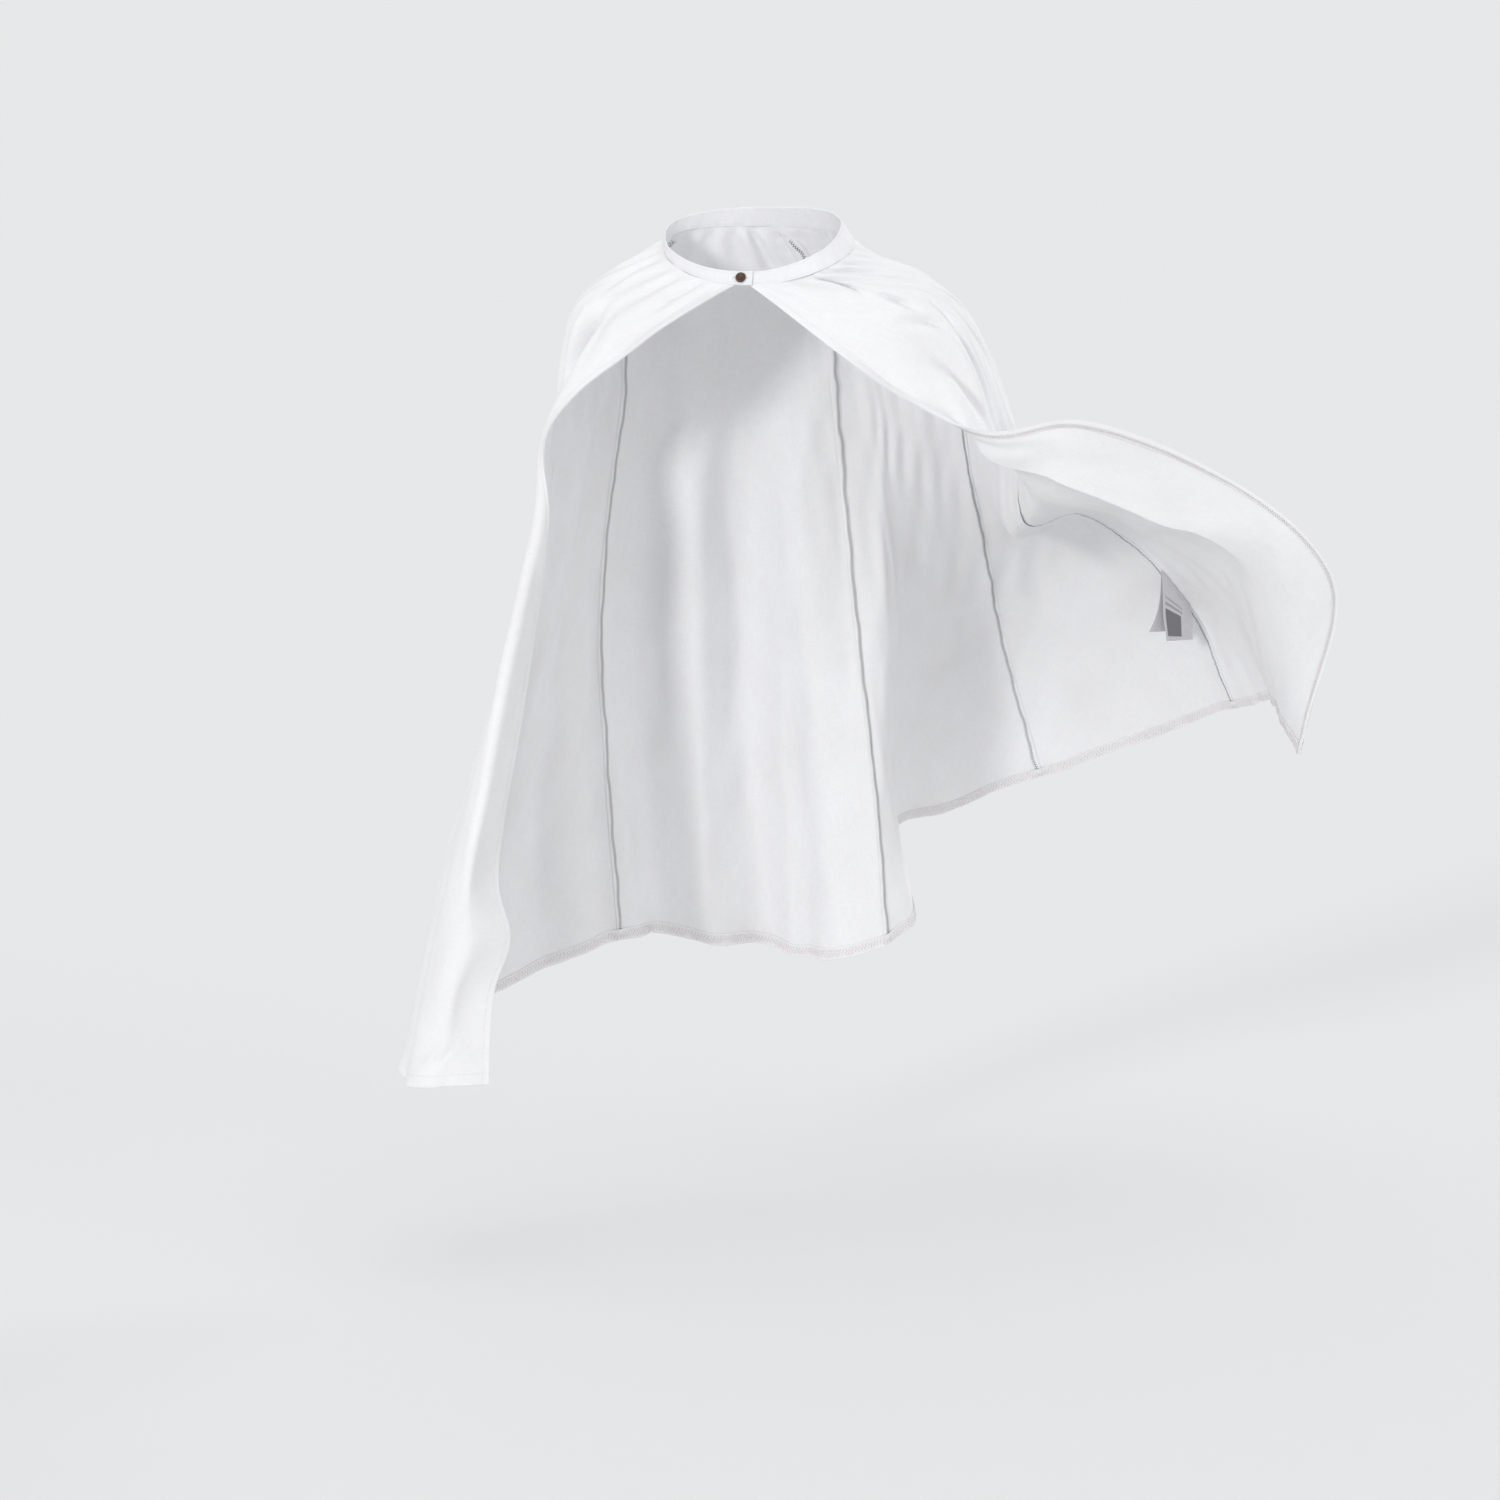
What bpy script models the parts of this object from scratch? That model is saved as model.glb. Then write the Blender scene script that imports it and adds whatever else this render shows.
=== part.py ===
# A canvas cape of five gores, gathered onto a small stand collar and closed there by one button.
# Metres, +Z up. The origin is the centre of the neck ring. -Y is the open front and +X the
# cape's own left side, which hangs lifted and spread, as in a strong side wind.
# "Right" and "left" are the cape's own sides: right is at -X, left at +X.

import math
from collections import namedtuple

import bpy
import numpy as np
from mathutils import Matrix, Vector

# Cloth
CLOTH = 0.0015            # canvas wall
SEAM_GAP = 0.0003         # between sewn pieces
HEM_DEPTH = 0.019         # bottom hem, turned up once on the inside
LENGTH = 1.27             # neck to hem along the cloth, for fold sizes

# Neck ring, an ellipse that dips at the front and is turned a little to the left
NECK_HALF_WIDTH = 0.143
NECK_HALF_DEPTH = 0.100
NECK_YAW = math.radians(-14.0)
NECK_SHIFT = -0.005       # sideways
NECK_FRONT_DIP = 0.043
NECK_SADDLE = 0.008       # sides higher than front and back
NECK_SLOPE = 0.030        # the left side sits lower
NECK_FRONT_GAP = 0.07     # radians from the centre front to each front edge

# Gathers at the neck
GATHERS = 26
GATHER_DEPTH = 0.0026
GATHER_FULL = 0.020       # share of the length where they are deepest
GATHER_END = 0.115        # share of the length where they have faded
GATHER_UNEVEN = 0.45      # how much their depth varies round the neck
GATHER_SWELLS = 5         # how often it does so

# Collar
COLLAR = 0.0024           # two layers of canvas
COLLAR_HEIGHT = 0.026
COLLAR_SIDE_SWING = 0.008  # lower on the right, higher on the left
COLLAR_BACK_SWING = 0.005  # lower in front, higher behind
COLLAR_LEAN = 0.35        # radians inwards
COLLAR_LEAN_SWING = 0.28  # upright on the right, leaning in on the left
COLLAR_OVERLAP = 0.10     # radians that each end passes the centre front
COLLAR_TUCK = 0.0030      # the left end passes inside the right end by this
COLLAR_TUCK_FROM = 0.55   # radians before the centre front where it starts to
COLLAR_TUCK_FULL = 0.20   # and where it is fully inside
COLLAR_FOOT = 0.0004      # below the neck ring
NECK_STANDOFF = 0.0029    # gores start this far from the ring, clear of the collar

# Button
BUTTON_RADIUS = 0.0077
BUTTON_RIM = 0.0032       # thickness at the rim
BUTTON_DISH = 0.0019      # thickness in the dished middle
BUTTON_ANGLE = 0.02       # place along the collar, radians from the centre front
BUTTON_HEIGHT = 0.50      # share of the collar's height
BUTTON_SIDES = 28

# Care label
LABEL = 0.0010
LABEL_LENGTH = 0.112      # down its longer side
LABEL_TOP = 0.705         # share of the length where its sewn edge starts
LABEL_BOTTOM = 0.785      # and where it ends, as it is sewn in askew

# The lifted side's ridge, where the cloth turns sharply, in shares of the length
RIDGE = "left_ridge"
RIDGE_SHARPNESS = 0.9
RIDGE_START = (0.27, 0.38)
RIDGE_END = (0.70, 0.95)

# Mesh density
GATHER_ROWS = 6
GATHER_CROWDING = 1.5     # rows crowd towards the neck by this power
BODY_ROWS = 19
COLLAR_COLUMNS = 52
COLLAR_ROWS = 3
LABEL_COLUMNS = 3
LABEL_ROWS = 5
SHARP_ANGLE = math.radians(50.0)

STATIONS = {
    "neck": 0.0,
    "shoulder": 0.12,
    "arm": 0.27,
    "flip": 0.40,
    "elbow": 0.53,
    "thigh": 0.77,
    "hem": 1.0,
}

# One row for each rib that runs down the cape, from the right front edge round the back to the
# left front edge: its share of the way round, the mesh columns up to the next rib, and where it
# passes each station, as (sideways, back, up) from the neck ring's centre.
Rib = namedtuple("Rib", "name share columns shoulder arm flip elbow thigh hem")
RIBS = (
    Rib("right_edge", 0.000, 3,
        (-0.175, -0.130, -0.125), (-0.315, -0.070, -0.255), (-0.315, -0.050, -0.390),
        (-0.340, -0.010, -0.570), (-0.395, -0.080, -0.920), (-0.405, -0.130, -1.220)),
    Rib("right_turn", 0.023, 4,
        (-0.215, -0.100, -0.115), (-0.315, -0.045, -0.255), (-0.330, -0.050, -0.390),
        (-0.370, -0.050, -0.580), (-0.430, -0.130, -0.920), (-0.470, -0.150, -1.220)),
    Rib("right_fold", 0.066, 4,
        (-0.255, -0.050, -0.090), (-0.315, 0.000, -0.250), (-0.335, 0.000, -0.390),
        (-0.390, 0.015, -0.590), (-0.475, -0.040, -0.930), (-0.540, -0.060, -1.232)),
    Rib("right_side", 0.132, 4,
        (-0.270, 0.000, -0.065), (-0.305, 0.060, -0.235), (-0.325, 0.080, -0.380),
        (-0.365, 0.110, -0.575), (-0.470, 0.130, -0.915), (-0.510, 0.120, -1.190)),
    Rib("right_inner", 0.192, 4,
        (-0.250, 0.060, -0.050), (-0.270, 0.120, -0.220), (-0.290, 0.145, -0.360),
        (-0.325, 0.180, -0.545), (-0.385, 0.230, -0.885), (-0.405, 0.240, -1.145)),
    Rib("right_seam", 0.261, 5,
        (-0.205, 0.100, -0.055), (-0.215, 0.160, -0.215), (-0.235, 0.195, -0.350),
        (-0.255, 0.240, -0.535), (-0.250, 0.300, -0.815), (-0.230, 0.330, -1.085)),
    Rib("back_right", 0.337, 5,
        (-0.110, 0.130, -0.070), (-0.110, 0.190, -0.210), (-0.110, 0.230, -0.345),
        (-0.110, 0.290, -0.530), (-0.105, 0.370, -0.820), (-0.090, 0.420, -1.100)),
    Rib("back_middle", 0.410, 4,
        (0.005, 0.140, -0.075), (0.015, 0.200, -0.210), (0.020, 0.240, -0.345),
        (0.030, 0.300, -0.530), (0.045, 0.370, -0.830), (0.065, 0.410, -1.125)),
    Rib("pleat_seam", 0.473, 4,
        (0.090, 0.135, -0.075), (0.105, 0.190, -0.210), (0.120, 0.230, -0.345),
        (0.140, 0.285, -0.535), (0.175, 0.320, -0.835), (0.195, 0.345, -1.095)),
    Rib("pleat_fold", 0.497, 6,
        (0.125, 0.130, -0.070), (0.145, 0.190, -0.210), (0.160, 0.235, -0.345),
        (0.180, 0.290, -0.535), (0.200, 0.340, -0.825), (0.245, 0.370, -1.065)),
    Rib("pleat_under", 0.555, 3,
        (0.155, 0.120, -0.060), (0.195, 0.185, -0.205), (0.205, 0.250, -0.345),
        (0.220, 0.340, -0.515), (0.215, 0.460, -0.725), (0.200, 0.500, -0.945)),
    Rib("back_left", 0.614, 3,
        (0.190, 0.100, -0.050), (0.250, 0.170, -0.205), (0.270, 0.275, -0.340),
        (0.285, 0.410, -0.500), (0.310, 0.560, -0.700), (0.330, 0.600, -0.910)),
    Rib("back_seam", 0.670, 4,
        (0.230, 0.070, -0.035), (0.300, 0.140, -0.210), (0.330, 0.275, -0.345),
        (0.365, 0.450, -0.475), (0.410, 0.610, -0.660), (0.470, 0.650, -0.865)),
    Rib("left_back", 0.729, 4,
        (0.250, 0.020, -0.035), (0.345, 0.090, -0.225), (0.375, 0.235, -0.412),
        (0.445, 0.420, -0.440), (0.530, 0.580, -0.600), (0.630, 0.630, -0.805)),
    Rib("left_seam", 0.808, 7,
        (0.260, -0.030, -0.050), (0.370, 0.030, -0.240), (0.400, 0.130, -0.402),
        (0.500, 0.300, -0.405), (0.680, 0.440, -0.550), (0.775, 0.500, -0.730)),
    Rib("left_ridge", 0.938, 4,
        (0.225, -0.085, -0.100), (0.345, -0.085, -0.285), (0.430, -0.095, -0.330),
        (0.560, -0.040, -0.385), (0.725, 0.080, -0.470), (0.825, 0.340, -0.730)),
    Rib("left_edge", 1.000, 0,
        (0.160, -0.135, -0.175), (0.325, -0.130, -0.250), (0.465, -0.070, -0.240),
        (0.640, 0.040, -0.305), (0.860, 0.130, -0.490), (0.835, 0.220, -0.775)),
)

# The largest folds, a row each: where it starts and ends, as (share round, share down), its half
# width, how far it stands out (in where negative), and how much of that is left at its far end.
Fold = namedtuple("Fold", "name start end half_width lift end_share")
FOLDS = (
    Fold("right_arm_crease", (0.064, 0.100), (0.037, 0.215), 0.020, -0.008, 0.0),
    Fold("right_front_crease", (0.013, 0.060), (0.006, 0.245), 0.014, -0.006, 0.0),
    Fold("left_shoulder_trough", (0.965, 0.100), (0.950, 0.240), 0.030, -0.010, 0.0),
    Fold("left_collar_crease", (0.894, 0.018), (0.930, 0.060), 0.014, -0.005, 0.0),
    Fold("left_arm_crease", (0.942, 0.108), (0.905, 0.156), 0.016, -0.005, 0.0),
    Fold("left_ridge_hollow", (0.862, 0.290), (0.874, 0.600), 0.056, 0.020, 0.0),
    Fold("right_side_flute", (0.150, 0.300), (0.165, 1.000), 0.060, 0.014, 1.0),
    Fold("right_back_flute", (0.225, 0.250), (0.235, 1.000), 0.055, -0.017, 1.0),
    Fold("right_seam_flute", (0.292, 0.200), (0.297, 1.000), 0.060, 0.022, 1.0),
    Fold("right_back_hollow", (0.335, 0.160), (0.340, 1.000), 0.055, -0.026, 1.0),
    Fold("centre_back_flute", (0.380, 0.140), (0.382, 1.000), 0.065, 0.032, 1.0),
    Fold("pleat_hollow", (0.436, 0.180), (0.438, 1.000), 0.055, -0.026, 1.0),
    Fold("left_back_flute", (0.640, 0.300), (0.645, 1.000), 0.080, 0.010, 1.0),
)

# Sways of the free edges, a row each: its place, as (share round, share down), how far it reaches
# each way, and how far it moves the edge
Sway = namedtuple("Sway", "name place reach move")
SWAYS = (
    Sway("right_edge_wave", (0.0, 0.835), (0.035, 0.045), (0.028, 0.0, 0.0)),
    Sway("left_edge_turn", (1.0, 0.800), (0.060, 0.090), (0.012, 0.0, 0.0)),
)

# The five gores, from the right front round to the left front
Gore = namedtuple("Gore", "node first_rib last_rib")
GORES = (
    Gore("front_right", "right_edge", "right_seam"),
    Gore("back_right", "right_seam", "pleat_seam"),
    Gore("back_centre", "pleat_seam", "back_seam"),
    Gore("back_left", "back_seam", "left_seam"),
    Gore("front_left", "left_seam", "left_edge"),
)

# The two leaves of the folded label: its place in front of the other leaf, how far its free end
# swings sideways and towards the front, and its length as a share of the label's
Leaf = namedtuple("Leaf", "node before swing forward length")
LEAVES = (
    Leaf("care_label", 0.0013, 0.003, 0.022, 1.0),
    Leaf("care_label_under", 0.0, -0.018, 0.010, 0.88),
)

RIB_NAMES = [rib.name for rib in RIBS]
SHARES = np.array([rib.share for rib in RIBS])
DROPS = np.array(list(STATIONS.values()))
STEP = 1e-3               # share step for slopes


def material(name, colour, roughness):
    made = bpy.data.materials.new(name)
    made.use_nodes = True
    shader = made.node_tree.nodes["Principled BSDF"]
    shader.inputs["Base Color"].default_value = (*colour, 1.0)
    shader.inputs["Roughness"].default_value = roughness
    shader.inputs["Metallic"].default_value = 0.0
    return made


def unit(vectors):
    return vectors / np.linalg.norm(vectors, axis=-1, keepdims=True)


def ramp(value, start, end):
    """0 before start, 1 after end, smooth between."""
    t = np.clip((value - start) / (end - start), 0.0, 1.0)
    return t * t * (3.0 - 2.0 * t)


def neck_point(angle):
    """A point of the neck ring. Angles run from the centre front to the right and on round."""
    x = -NECK_HALF_WIDTH * np.sin(angle)
    y = -NECK_HALF_DEPTH * np.cos(angle)
    across = x * math.cos(NECK_YAW) - y * math.sin(NECK_YAW)
    back = x * math.sin(NECK_YAW) + y * math.cos(NECK_YAW)
    up = NECK_SADDLE * (1.0 - np.cos(2.0 * angle)) - NECK_FRONT_DIP * np.cos(angle)
    return np.stack([across + NECK_SHIFT, back, up - NECK_SLOPE * across], axis=-1)


def rib_net():
    """The ribs' points as an array of station, rib and coordinate."""
    angles = np.linspace(NECK_FRONT_GAP, 2.0 * math.pi - NECK_FRONT_GAP, len(RIBS))
    rows = [neck_point(angles)]
    for station in list(STATIONS)[1:]:
        rows.append([getattr(rib, station) for rib in RIBS])
    return np.array(rows)


def slopes(knots, values):
    """Slope of a smooth curve at each knot, along the first axis of values."""
    shape = (-1,) + (1,) * (values.ndim - 1)
    gaps = np.diff(knots).reshape(shape)
    secants = np.diff(values, axis=0) / gaps
    inner = (secants[:-1] * gaps[1:] + secants[1:] * gaps[:-1]) / (gaps[1:] + gaps[:-1])
    return np.concatenate([secants[:1], inner, secants[-1:]])


def weights(knots, places):
    """The knot before each place, and the four weights of a cubic between two knots."""
    before = np.clip(np.searchsorted(knots, places, side="right") - 1, 0, len(knots) - 2)
    gap = knots[before + 1] - knots[before]
    t = (places - knots[before]) / gap
    near = (1.0 + 2.0 * t) * (1.0 - t) ** 2
    far = t * t * (3.0 - 2.0 * t)
    return before, (near, far, gap * t * (1.0 - t) ** 2, gap * t * t * (t - 1.0))


def smooth_through(knots, values, places):
    """A smooth curve through values at knots, read at places, along the first axis."""
    tangents = slopes(knots, values)
    before, parts = weights(knots, places)
    near, far, leave, arrive = (part.reshape((-1,) + (1,) * (values.ndim - 1)) for part in parts)
    return (values[before] * near + values[before + 1] * far
            + tangents[before] * leave + tangents[before + 1] * arrive)


NET = rib_net()
GIRTHS = np.linalg.norm(np.diff(NET, axis=1), axis=2).sum(axis=1)


def plain_cloth(shares, drops):
    """Points of the cape before its gathers and folds."""
    rings = smooth_through(DROPS, NET, drops)
    ribs_first = np.swapaxes(rings, 0, 1)
    leaving = slopes(SHARES, ribs_first)
    arriving = leaving.copy()
    ridge = RIB_NAMES.index(RIDGE)
    sharp = RIDGE_SHARPNESS * ramp(drops, *RIDGE_START) * (1.0 - ramp(drops, *RIDGE_END))
    for slope, first in ((arriving, ridge - 1), (leaving, ridge)):
        step = (ribs_first[first + 1] - ribs_first[first]) / (SHARES[first + 1] - SHARES[first])
        slope[ridge] += sharp[:, None] * (step - slope[ridge])
    before, parts = weights(SHARES, shares)
    near, far, leave, arrive = (part[:, None] for part in parts)
    each = np.arange(len(shares))
    points = (ribs_first[before, each] * near + ribs_first[before + 1, each] * far
              + leaving[before, each] * leave + arriving[before + 1, each] * arrive)
    for sway in SWAYS:
        round_off = (shares - sway.place[0]) / sway.reach[0]
        down_off = (drops - sway.place[1]) / sway.reach[1]
        points = points + np.exp(-round_off ** 2 - down_off ** 2)[:, None] * np.array(sway.move)
    return points


def frames(surface, shares, drops):
    """Unit vectors round, down and out of a surface at each place."""
    round_way = surface(shares + STEP, drops) - surface(shares - STEP, drops)
    down_way = surface(shares, drops + STEP) - surface(shares, drops - STEP)
    return unit(round_way), unit(down_way), unit(np.cross(round_way, down_way))


def gather_lift(shares, drops):
    turn = 2.0 * math.pi * np.interp(shares, SHARES, np.linspace(0.0, 1.0, len(SHARES)))
    uneven = 1.0 + GATHER_UNEVEN * np.sin(GATHER_SWELLS * turn)
    fade = ramp(drops, 0.0, GATHER_FULL) * (1.0 - ramp(drops, GATHER_FULL, GATHER_END))
    return GATHER_DEPTH * uneven * fade * np.cos(GATHERS * turn)


def fold_lift(fold, shares, drops):
    """How far one fold moves each place, measured on the cloth laid flat."""
    girth = np.interp(drops, DROPS, GIRTHS)
    down = (fold.end[1] - fold.start[1]) * LENGTH
    across = (fold.end[0] - fold.start[0]) * girth
    from_down = (drops - fold.start[1]) * LENGTH
    from_across = (shares - fold.start[0]) * girth
    length = np.hypot(across, down)
    along = (from_across * across + from_down * down) / length ** 2
    aside = (from_across * down - from_down * across) / length
    near = np.clip(1.0 - (aside / fold.half_width) ** 2, 0.0, 1.0) ** 2
    rise = ramp(along, 0.0, 0.5)
    fall = 1.0 - (1.0 - fold.end_share) * ramp(along, 0.5, 1.0)
    return fold.lift * near * rise * fall


def cloth(shares, drops):
    """Points of the cape's middle surface, with its gathers and folds."""
    out = frames(plain_cloth, shares, drops)[2]
    lift = gather_lift(shares, drops)
    for fold in FOLDS:
        lift = lift + fold_lift(fold, shares, drops)
    return plain_cloth(shares, drops) + out * lift[:, None]


def strip(upper, lower):
    """Triangles between two rows of places. The upper row may have twice as many columns."""
    if len(upper) == len(lower):
        pairs = zip(upper[:-1], upper[1:], lower[1:], lower[:-1])
        return [face for a, b, c, d in pairs for face in ((a, b, c), (a, c, d))]
    faces = []
    for j in range(len(lower) - 1):
        a, b, c = upper[2 * j:2 * j + 3]
        faces += [(a, b, lower[j]), (b, lower[j + 1], lower[j]), (b, c, lower[j + 1])]
    return faces


def wall(name, points, out, faces, lift_out, lift_in, finish):
    """A closed wall on a layer of triangles, moved out one way and in the other."""
    count = len(points)
    outer = points + out * np.reshape(lift_out, (-1, 1))
    inner = points - out * np.reshape(lift_in, (-1, 1))
    edges = {(a, b) for face in faces for a, b in zip(face, face[1:] + face[:1])}
    solid = list(faces) + [tuple(i + count for i in reversed(face)) for face in faces]
    for a, b in sorted(edges):
        if (b, a) not in edges:
            solid += [(b, a, a + count), (b, a + count, b + count)]
    mesh = bpy.data.meshes.new(name)
    mesh.from_pydata(np.concatenate([outer, inner]).tolist(), [], solid)
    mesh.materials.append(finish)
    mesh.shade_smooth()
    mesh.set_sharp_from_angle(angle=SHARP_ANGLE)
    made = bpy.data.objects.new(name, mesh)
    bpy.context.scene.collection.objects.link(made)
    return made


def gore_columns(gore):
    first = RIB_NAMES.index(gore.first_rib)
    last = RIB_NAMES.index(gore.last_rib)
    shares = [np.linspace(RIBS[i].share, RIBS[i + 1].share, RIBS[i].columns, endpoint=False)
              for i in range(first, last)]
    return np.append(np.concatenate(shares), RIBS[last].share)


def gore_rows():
    """Shares of the length for the mesh's rows, and how many of them have twice the columns."""
    hem_start = 1.0 - HEM_DEPTH / LENGTH
    gathered = GATHER_END * np.linspace(0.0, 1.0, GATHER_ROWS) ** GATHER_CROWDING
    body = np.linspace(GATHER_END, hem_start, BODY_ROWS)[1:]
    hem = [hem_start + CLOTH / LENGTH, 1.0]
    return np.concatenate([gathered, body, hem]), GATHER_ROWS


def add_gore(gore, finish):
    columns = gore_columns(gore)
    between = 0.5 * (columns[:-1] + columns[1:])
    fine_columns = np.sort(np.concatenate([columns, between]))
    row_drops, fine_rows = gore_rows()
    shares = []
    drops = []
    rows = []
    for number, drop in enumerate(row_drops):
        row_shares = fine_columns if number < fine_rows else columns
        rows.append(list(range(len(shares), len(shares) + len(row_shares))))
        shares += list(row_shares)
        drops += [drop] * len(row_shares)
    shares = np.array(shares)
    drops = np.array(drops)
    points = cloth(shares, drops)
    round_way, down_way, out = frames(cloth, shares, drops)
    top = rows[0]
    square_on = np.linalg.norm(np.cross(round_way[top], down_way[top]), axis=1, keepdims=True)
    points[top] += down_way[top] * NECK_STANDOFF / square_on
    if gore.first_rib != RIB_NAMES[0]:
        first = [row[0] for row in rows]
        points[first] += round_way[first] * SEAM_GAP / 2.0
    if gore.last_rib != RIB_NAMES[-1]:
        last = [row[-1] for row in rows]
        points[last] -= round_way[last] * SEAM_GAP / 2.0
    faces = [face for upper, lower in zip(rows[:-1], rows[1:]) for face in strip(upper, lower)]
    lift_in = np.full(len(points), CLOTH / 2.0)
    lift_in[rows[-2] + rows[-1]] += CLOTH
    wall(gore.node, points, out, faces, CLOTH / 2.0, lift_in, finish)


def collar_frame(angle):
    """Foot point, up vector, outward vector and height of the collar at each angle."""
    foot = neck_point(angle)
    along = unit(neck_point(angle + STEP) - neck_point(angle - STEP))
    upright = np.tile([0.0, 0.0, 1.0], (len(angle), 1))
    level_out = unit(np.cross(along, -upright))
    lean = COLLAR_LEAN - COLLAR_LEAN_SWING * np.sin(angle)
    up = upright * np.cos(lean)[:, None] - level_out * np.sin(lean)[:, None]
    out = upright * np.sin(lean)[:, None] + level_out * np.cos(lean)[:, None]
    swing = COLLAR_SIDE_SWING * np.sin(angle) + COLLAR_BACK_SWING * np.cos(angle)
    turn = 2.0 * math.pi
    tucked = ramp(angle, turn - COLLAR_TUCK_FROM, turn - COLLAR_TUCK_FULL)
    return foot - out * (COLLAR_TUCK * tucked)[:, None], up, out, COLLAR_HEIGHT - swing


def add_collar(finish):
    angles = np.linspace(-COLLAR_OVERLAP, 2.0 * math.pi + COLLAR_OVERLAP, COLLAR_COLUMNS + 1)
    foot, up, out, height = collar_frame(angles)
    points = []
    rows = []
    for share in np.linspace(1.0, 0.0, COLLAR_ROWS + 1):
        rise = share * (height + COLLAR_FOOT) - COLLAR_FOOT
        rows.append(list(range(len(points), len(points) + len(angles))))
        points += list(foot + up * rise[:, None])
    faces = [face for upper, lower in zip(rows[:-1], rows[1:]) for face in strip(upper, lower)]
    outs = np.tile(out, (COLLAR_ROWS + 1, 1))
    wall("collar", np.array(points), outs, faces, COLLAR / 2.0, COLLAR / 2.0, finish)


def add_button(finish):
    """A turned button with a raised rim and a dished middle, flat against the collar."""
    radius = BUTTON_RADIUS
    profile = (
        (0.0, BUTTON_DISH),
        (radius * 0.52, BUTTON_DISH),
        (radius * 0.66, BUTTON_RIM * 0.94),
        (radius * 0.82, BUTTON_RIM),
        (radius * 0.95, BUTTON_RIM * 0.80),
        (radius, BUTTON_RIM * 0.45),
        (radius * 0.90, 0.0),
        (0.0, 0.0),
    )
    mesh = bpy.data.meshes.new("button")
    corners = [(r, 0.0, z) for r, z in profile]
    mesh.from_pydata(corners, [(i, i + 1) for i in range(len(corners) - 1)], [])
    mesh.materials.append(finish)
    made = bpy.data.objects.new("button", mesh)
    bpy.context.scene.collection.objects.link(made)
    turn = made.modifiers.new("turn", "SCREW")
    turn.axis = "Z"
    turn.steps = BUTTON_SIDES
    turn.render_steps = BUTTON_SIDES
    turn.use_merge_vertices = True
    turn.merge_threshold = 0.00001
    turn.use_smooth_shade = True
    foot, up, out, height = collar_frame(np.array([BUTTON_ANGLE]))
    seat = foot[0] + up[0] * height[0] * BUTTON_HEIGHT + out[0] * (COLLAR / 2.0 + SEAM_GAP)
    across = np.cross(up[0], out[0])
    turned = Matrix((across, up[0], out[0])).transposed().to_4x4()
    made.matrix_world = Matrix.Translation(Vector(seat)) @ turned


def add_leaf(leaf, finish):
    """One leaf of the label, sewn askew into the left side seam and hanging straight from it."""
    drops = np.linspace(LABEL_TOP, LABEL_BOTTOM, LABEL_COLUMNS + 1)
    shares = np.full(LABEL_COLUMNS + 1, RIBS[RIB_NAMES.index("left_seam")].share)
    inwards = -frames(cloth, shares, drops)[2]
    seam = cloth(shares, drops) + inwards * (CLOTH / 2.0 + SEAM_GAP + LABEL)
    foot = seam + np.array([leaf.swing, -leaf.forward, 0.0])
    foot[:, 2] = seam[0, 2] - LABEL_LENGTH * leaf.length
    face_out = unit(np.cross(seam[-1] - seam[0], foot[0] - seam[0]))
    seam = seam - face_out * leaf.before
    points = []
    rows = []
    for share in np.linspace(0.0, 1.0, LABEL_ROWS + 1):
        rows.append(list(range(len(points), len(points) + len(seam))))
        points += list(seam + (foot - seam) * share)
    faces = [face for upper, lower in zip(rows[:-1], rows[1:]) for face in strip(upper, lower)]
    outs = np.tile(face_out, (len(points), 1))
    wall(leaf.node, np.array(points), outs, faces, LABEL / 2.0, LABEL / 2.0, finish)


def main():
    for old in list(bpy.data.objects):
        bpy.data.objects.remove(old, do_unlink=True)
    canvas = material("white_canvas", (0.86, 0.86, 0.87), 0.92)
    for gore in GORES:
        add_gore(gore, canvas)
    add_collar(material("collar_canvas", (0.84, 0.84, 0.85), 0.92))
    add_button(material("dark_wood", (0.045, 0.020, 0.014), 0.45))
    satin = material("label_satin", (0.90, 0.90, 0.91), 0.55)
    for leaf in LEAVES:
        add_leaf(leaf, satin)


main()
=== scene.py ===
import math

import bpy
import numpy as np
from mathutils import Matrix, Vector


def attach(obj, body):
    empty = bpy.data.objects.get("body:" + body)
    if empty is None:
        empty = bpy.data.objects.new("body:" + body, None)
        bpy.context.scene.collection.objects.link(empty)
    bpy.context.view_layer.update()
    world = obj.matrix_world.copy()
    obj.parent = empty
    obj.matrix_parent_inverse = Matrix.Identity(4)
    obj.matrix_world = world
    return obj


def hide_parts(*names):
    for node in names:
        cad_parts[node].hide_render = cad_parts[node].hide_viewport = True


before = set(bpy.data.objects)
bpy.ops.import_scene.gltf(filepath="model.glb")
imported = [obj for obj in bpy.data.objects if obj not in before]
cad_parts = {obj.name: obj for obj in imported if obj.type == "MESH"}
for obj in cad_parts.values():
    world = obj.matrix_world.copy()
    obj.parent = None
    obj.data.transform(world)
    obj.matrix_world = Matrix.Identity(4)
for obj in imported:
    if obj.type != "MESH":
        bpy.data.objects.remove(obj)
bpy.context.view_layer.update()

fullTurn = 2.0 * math.pi

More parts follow.
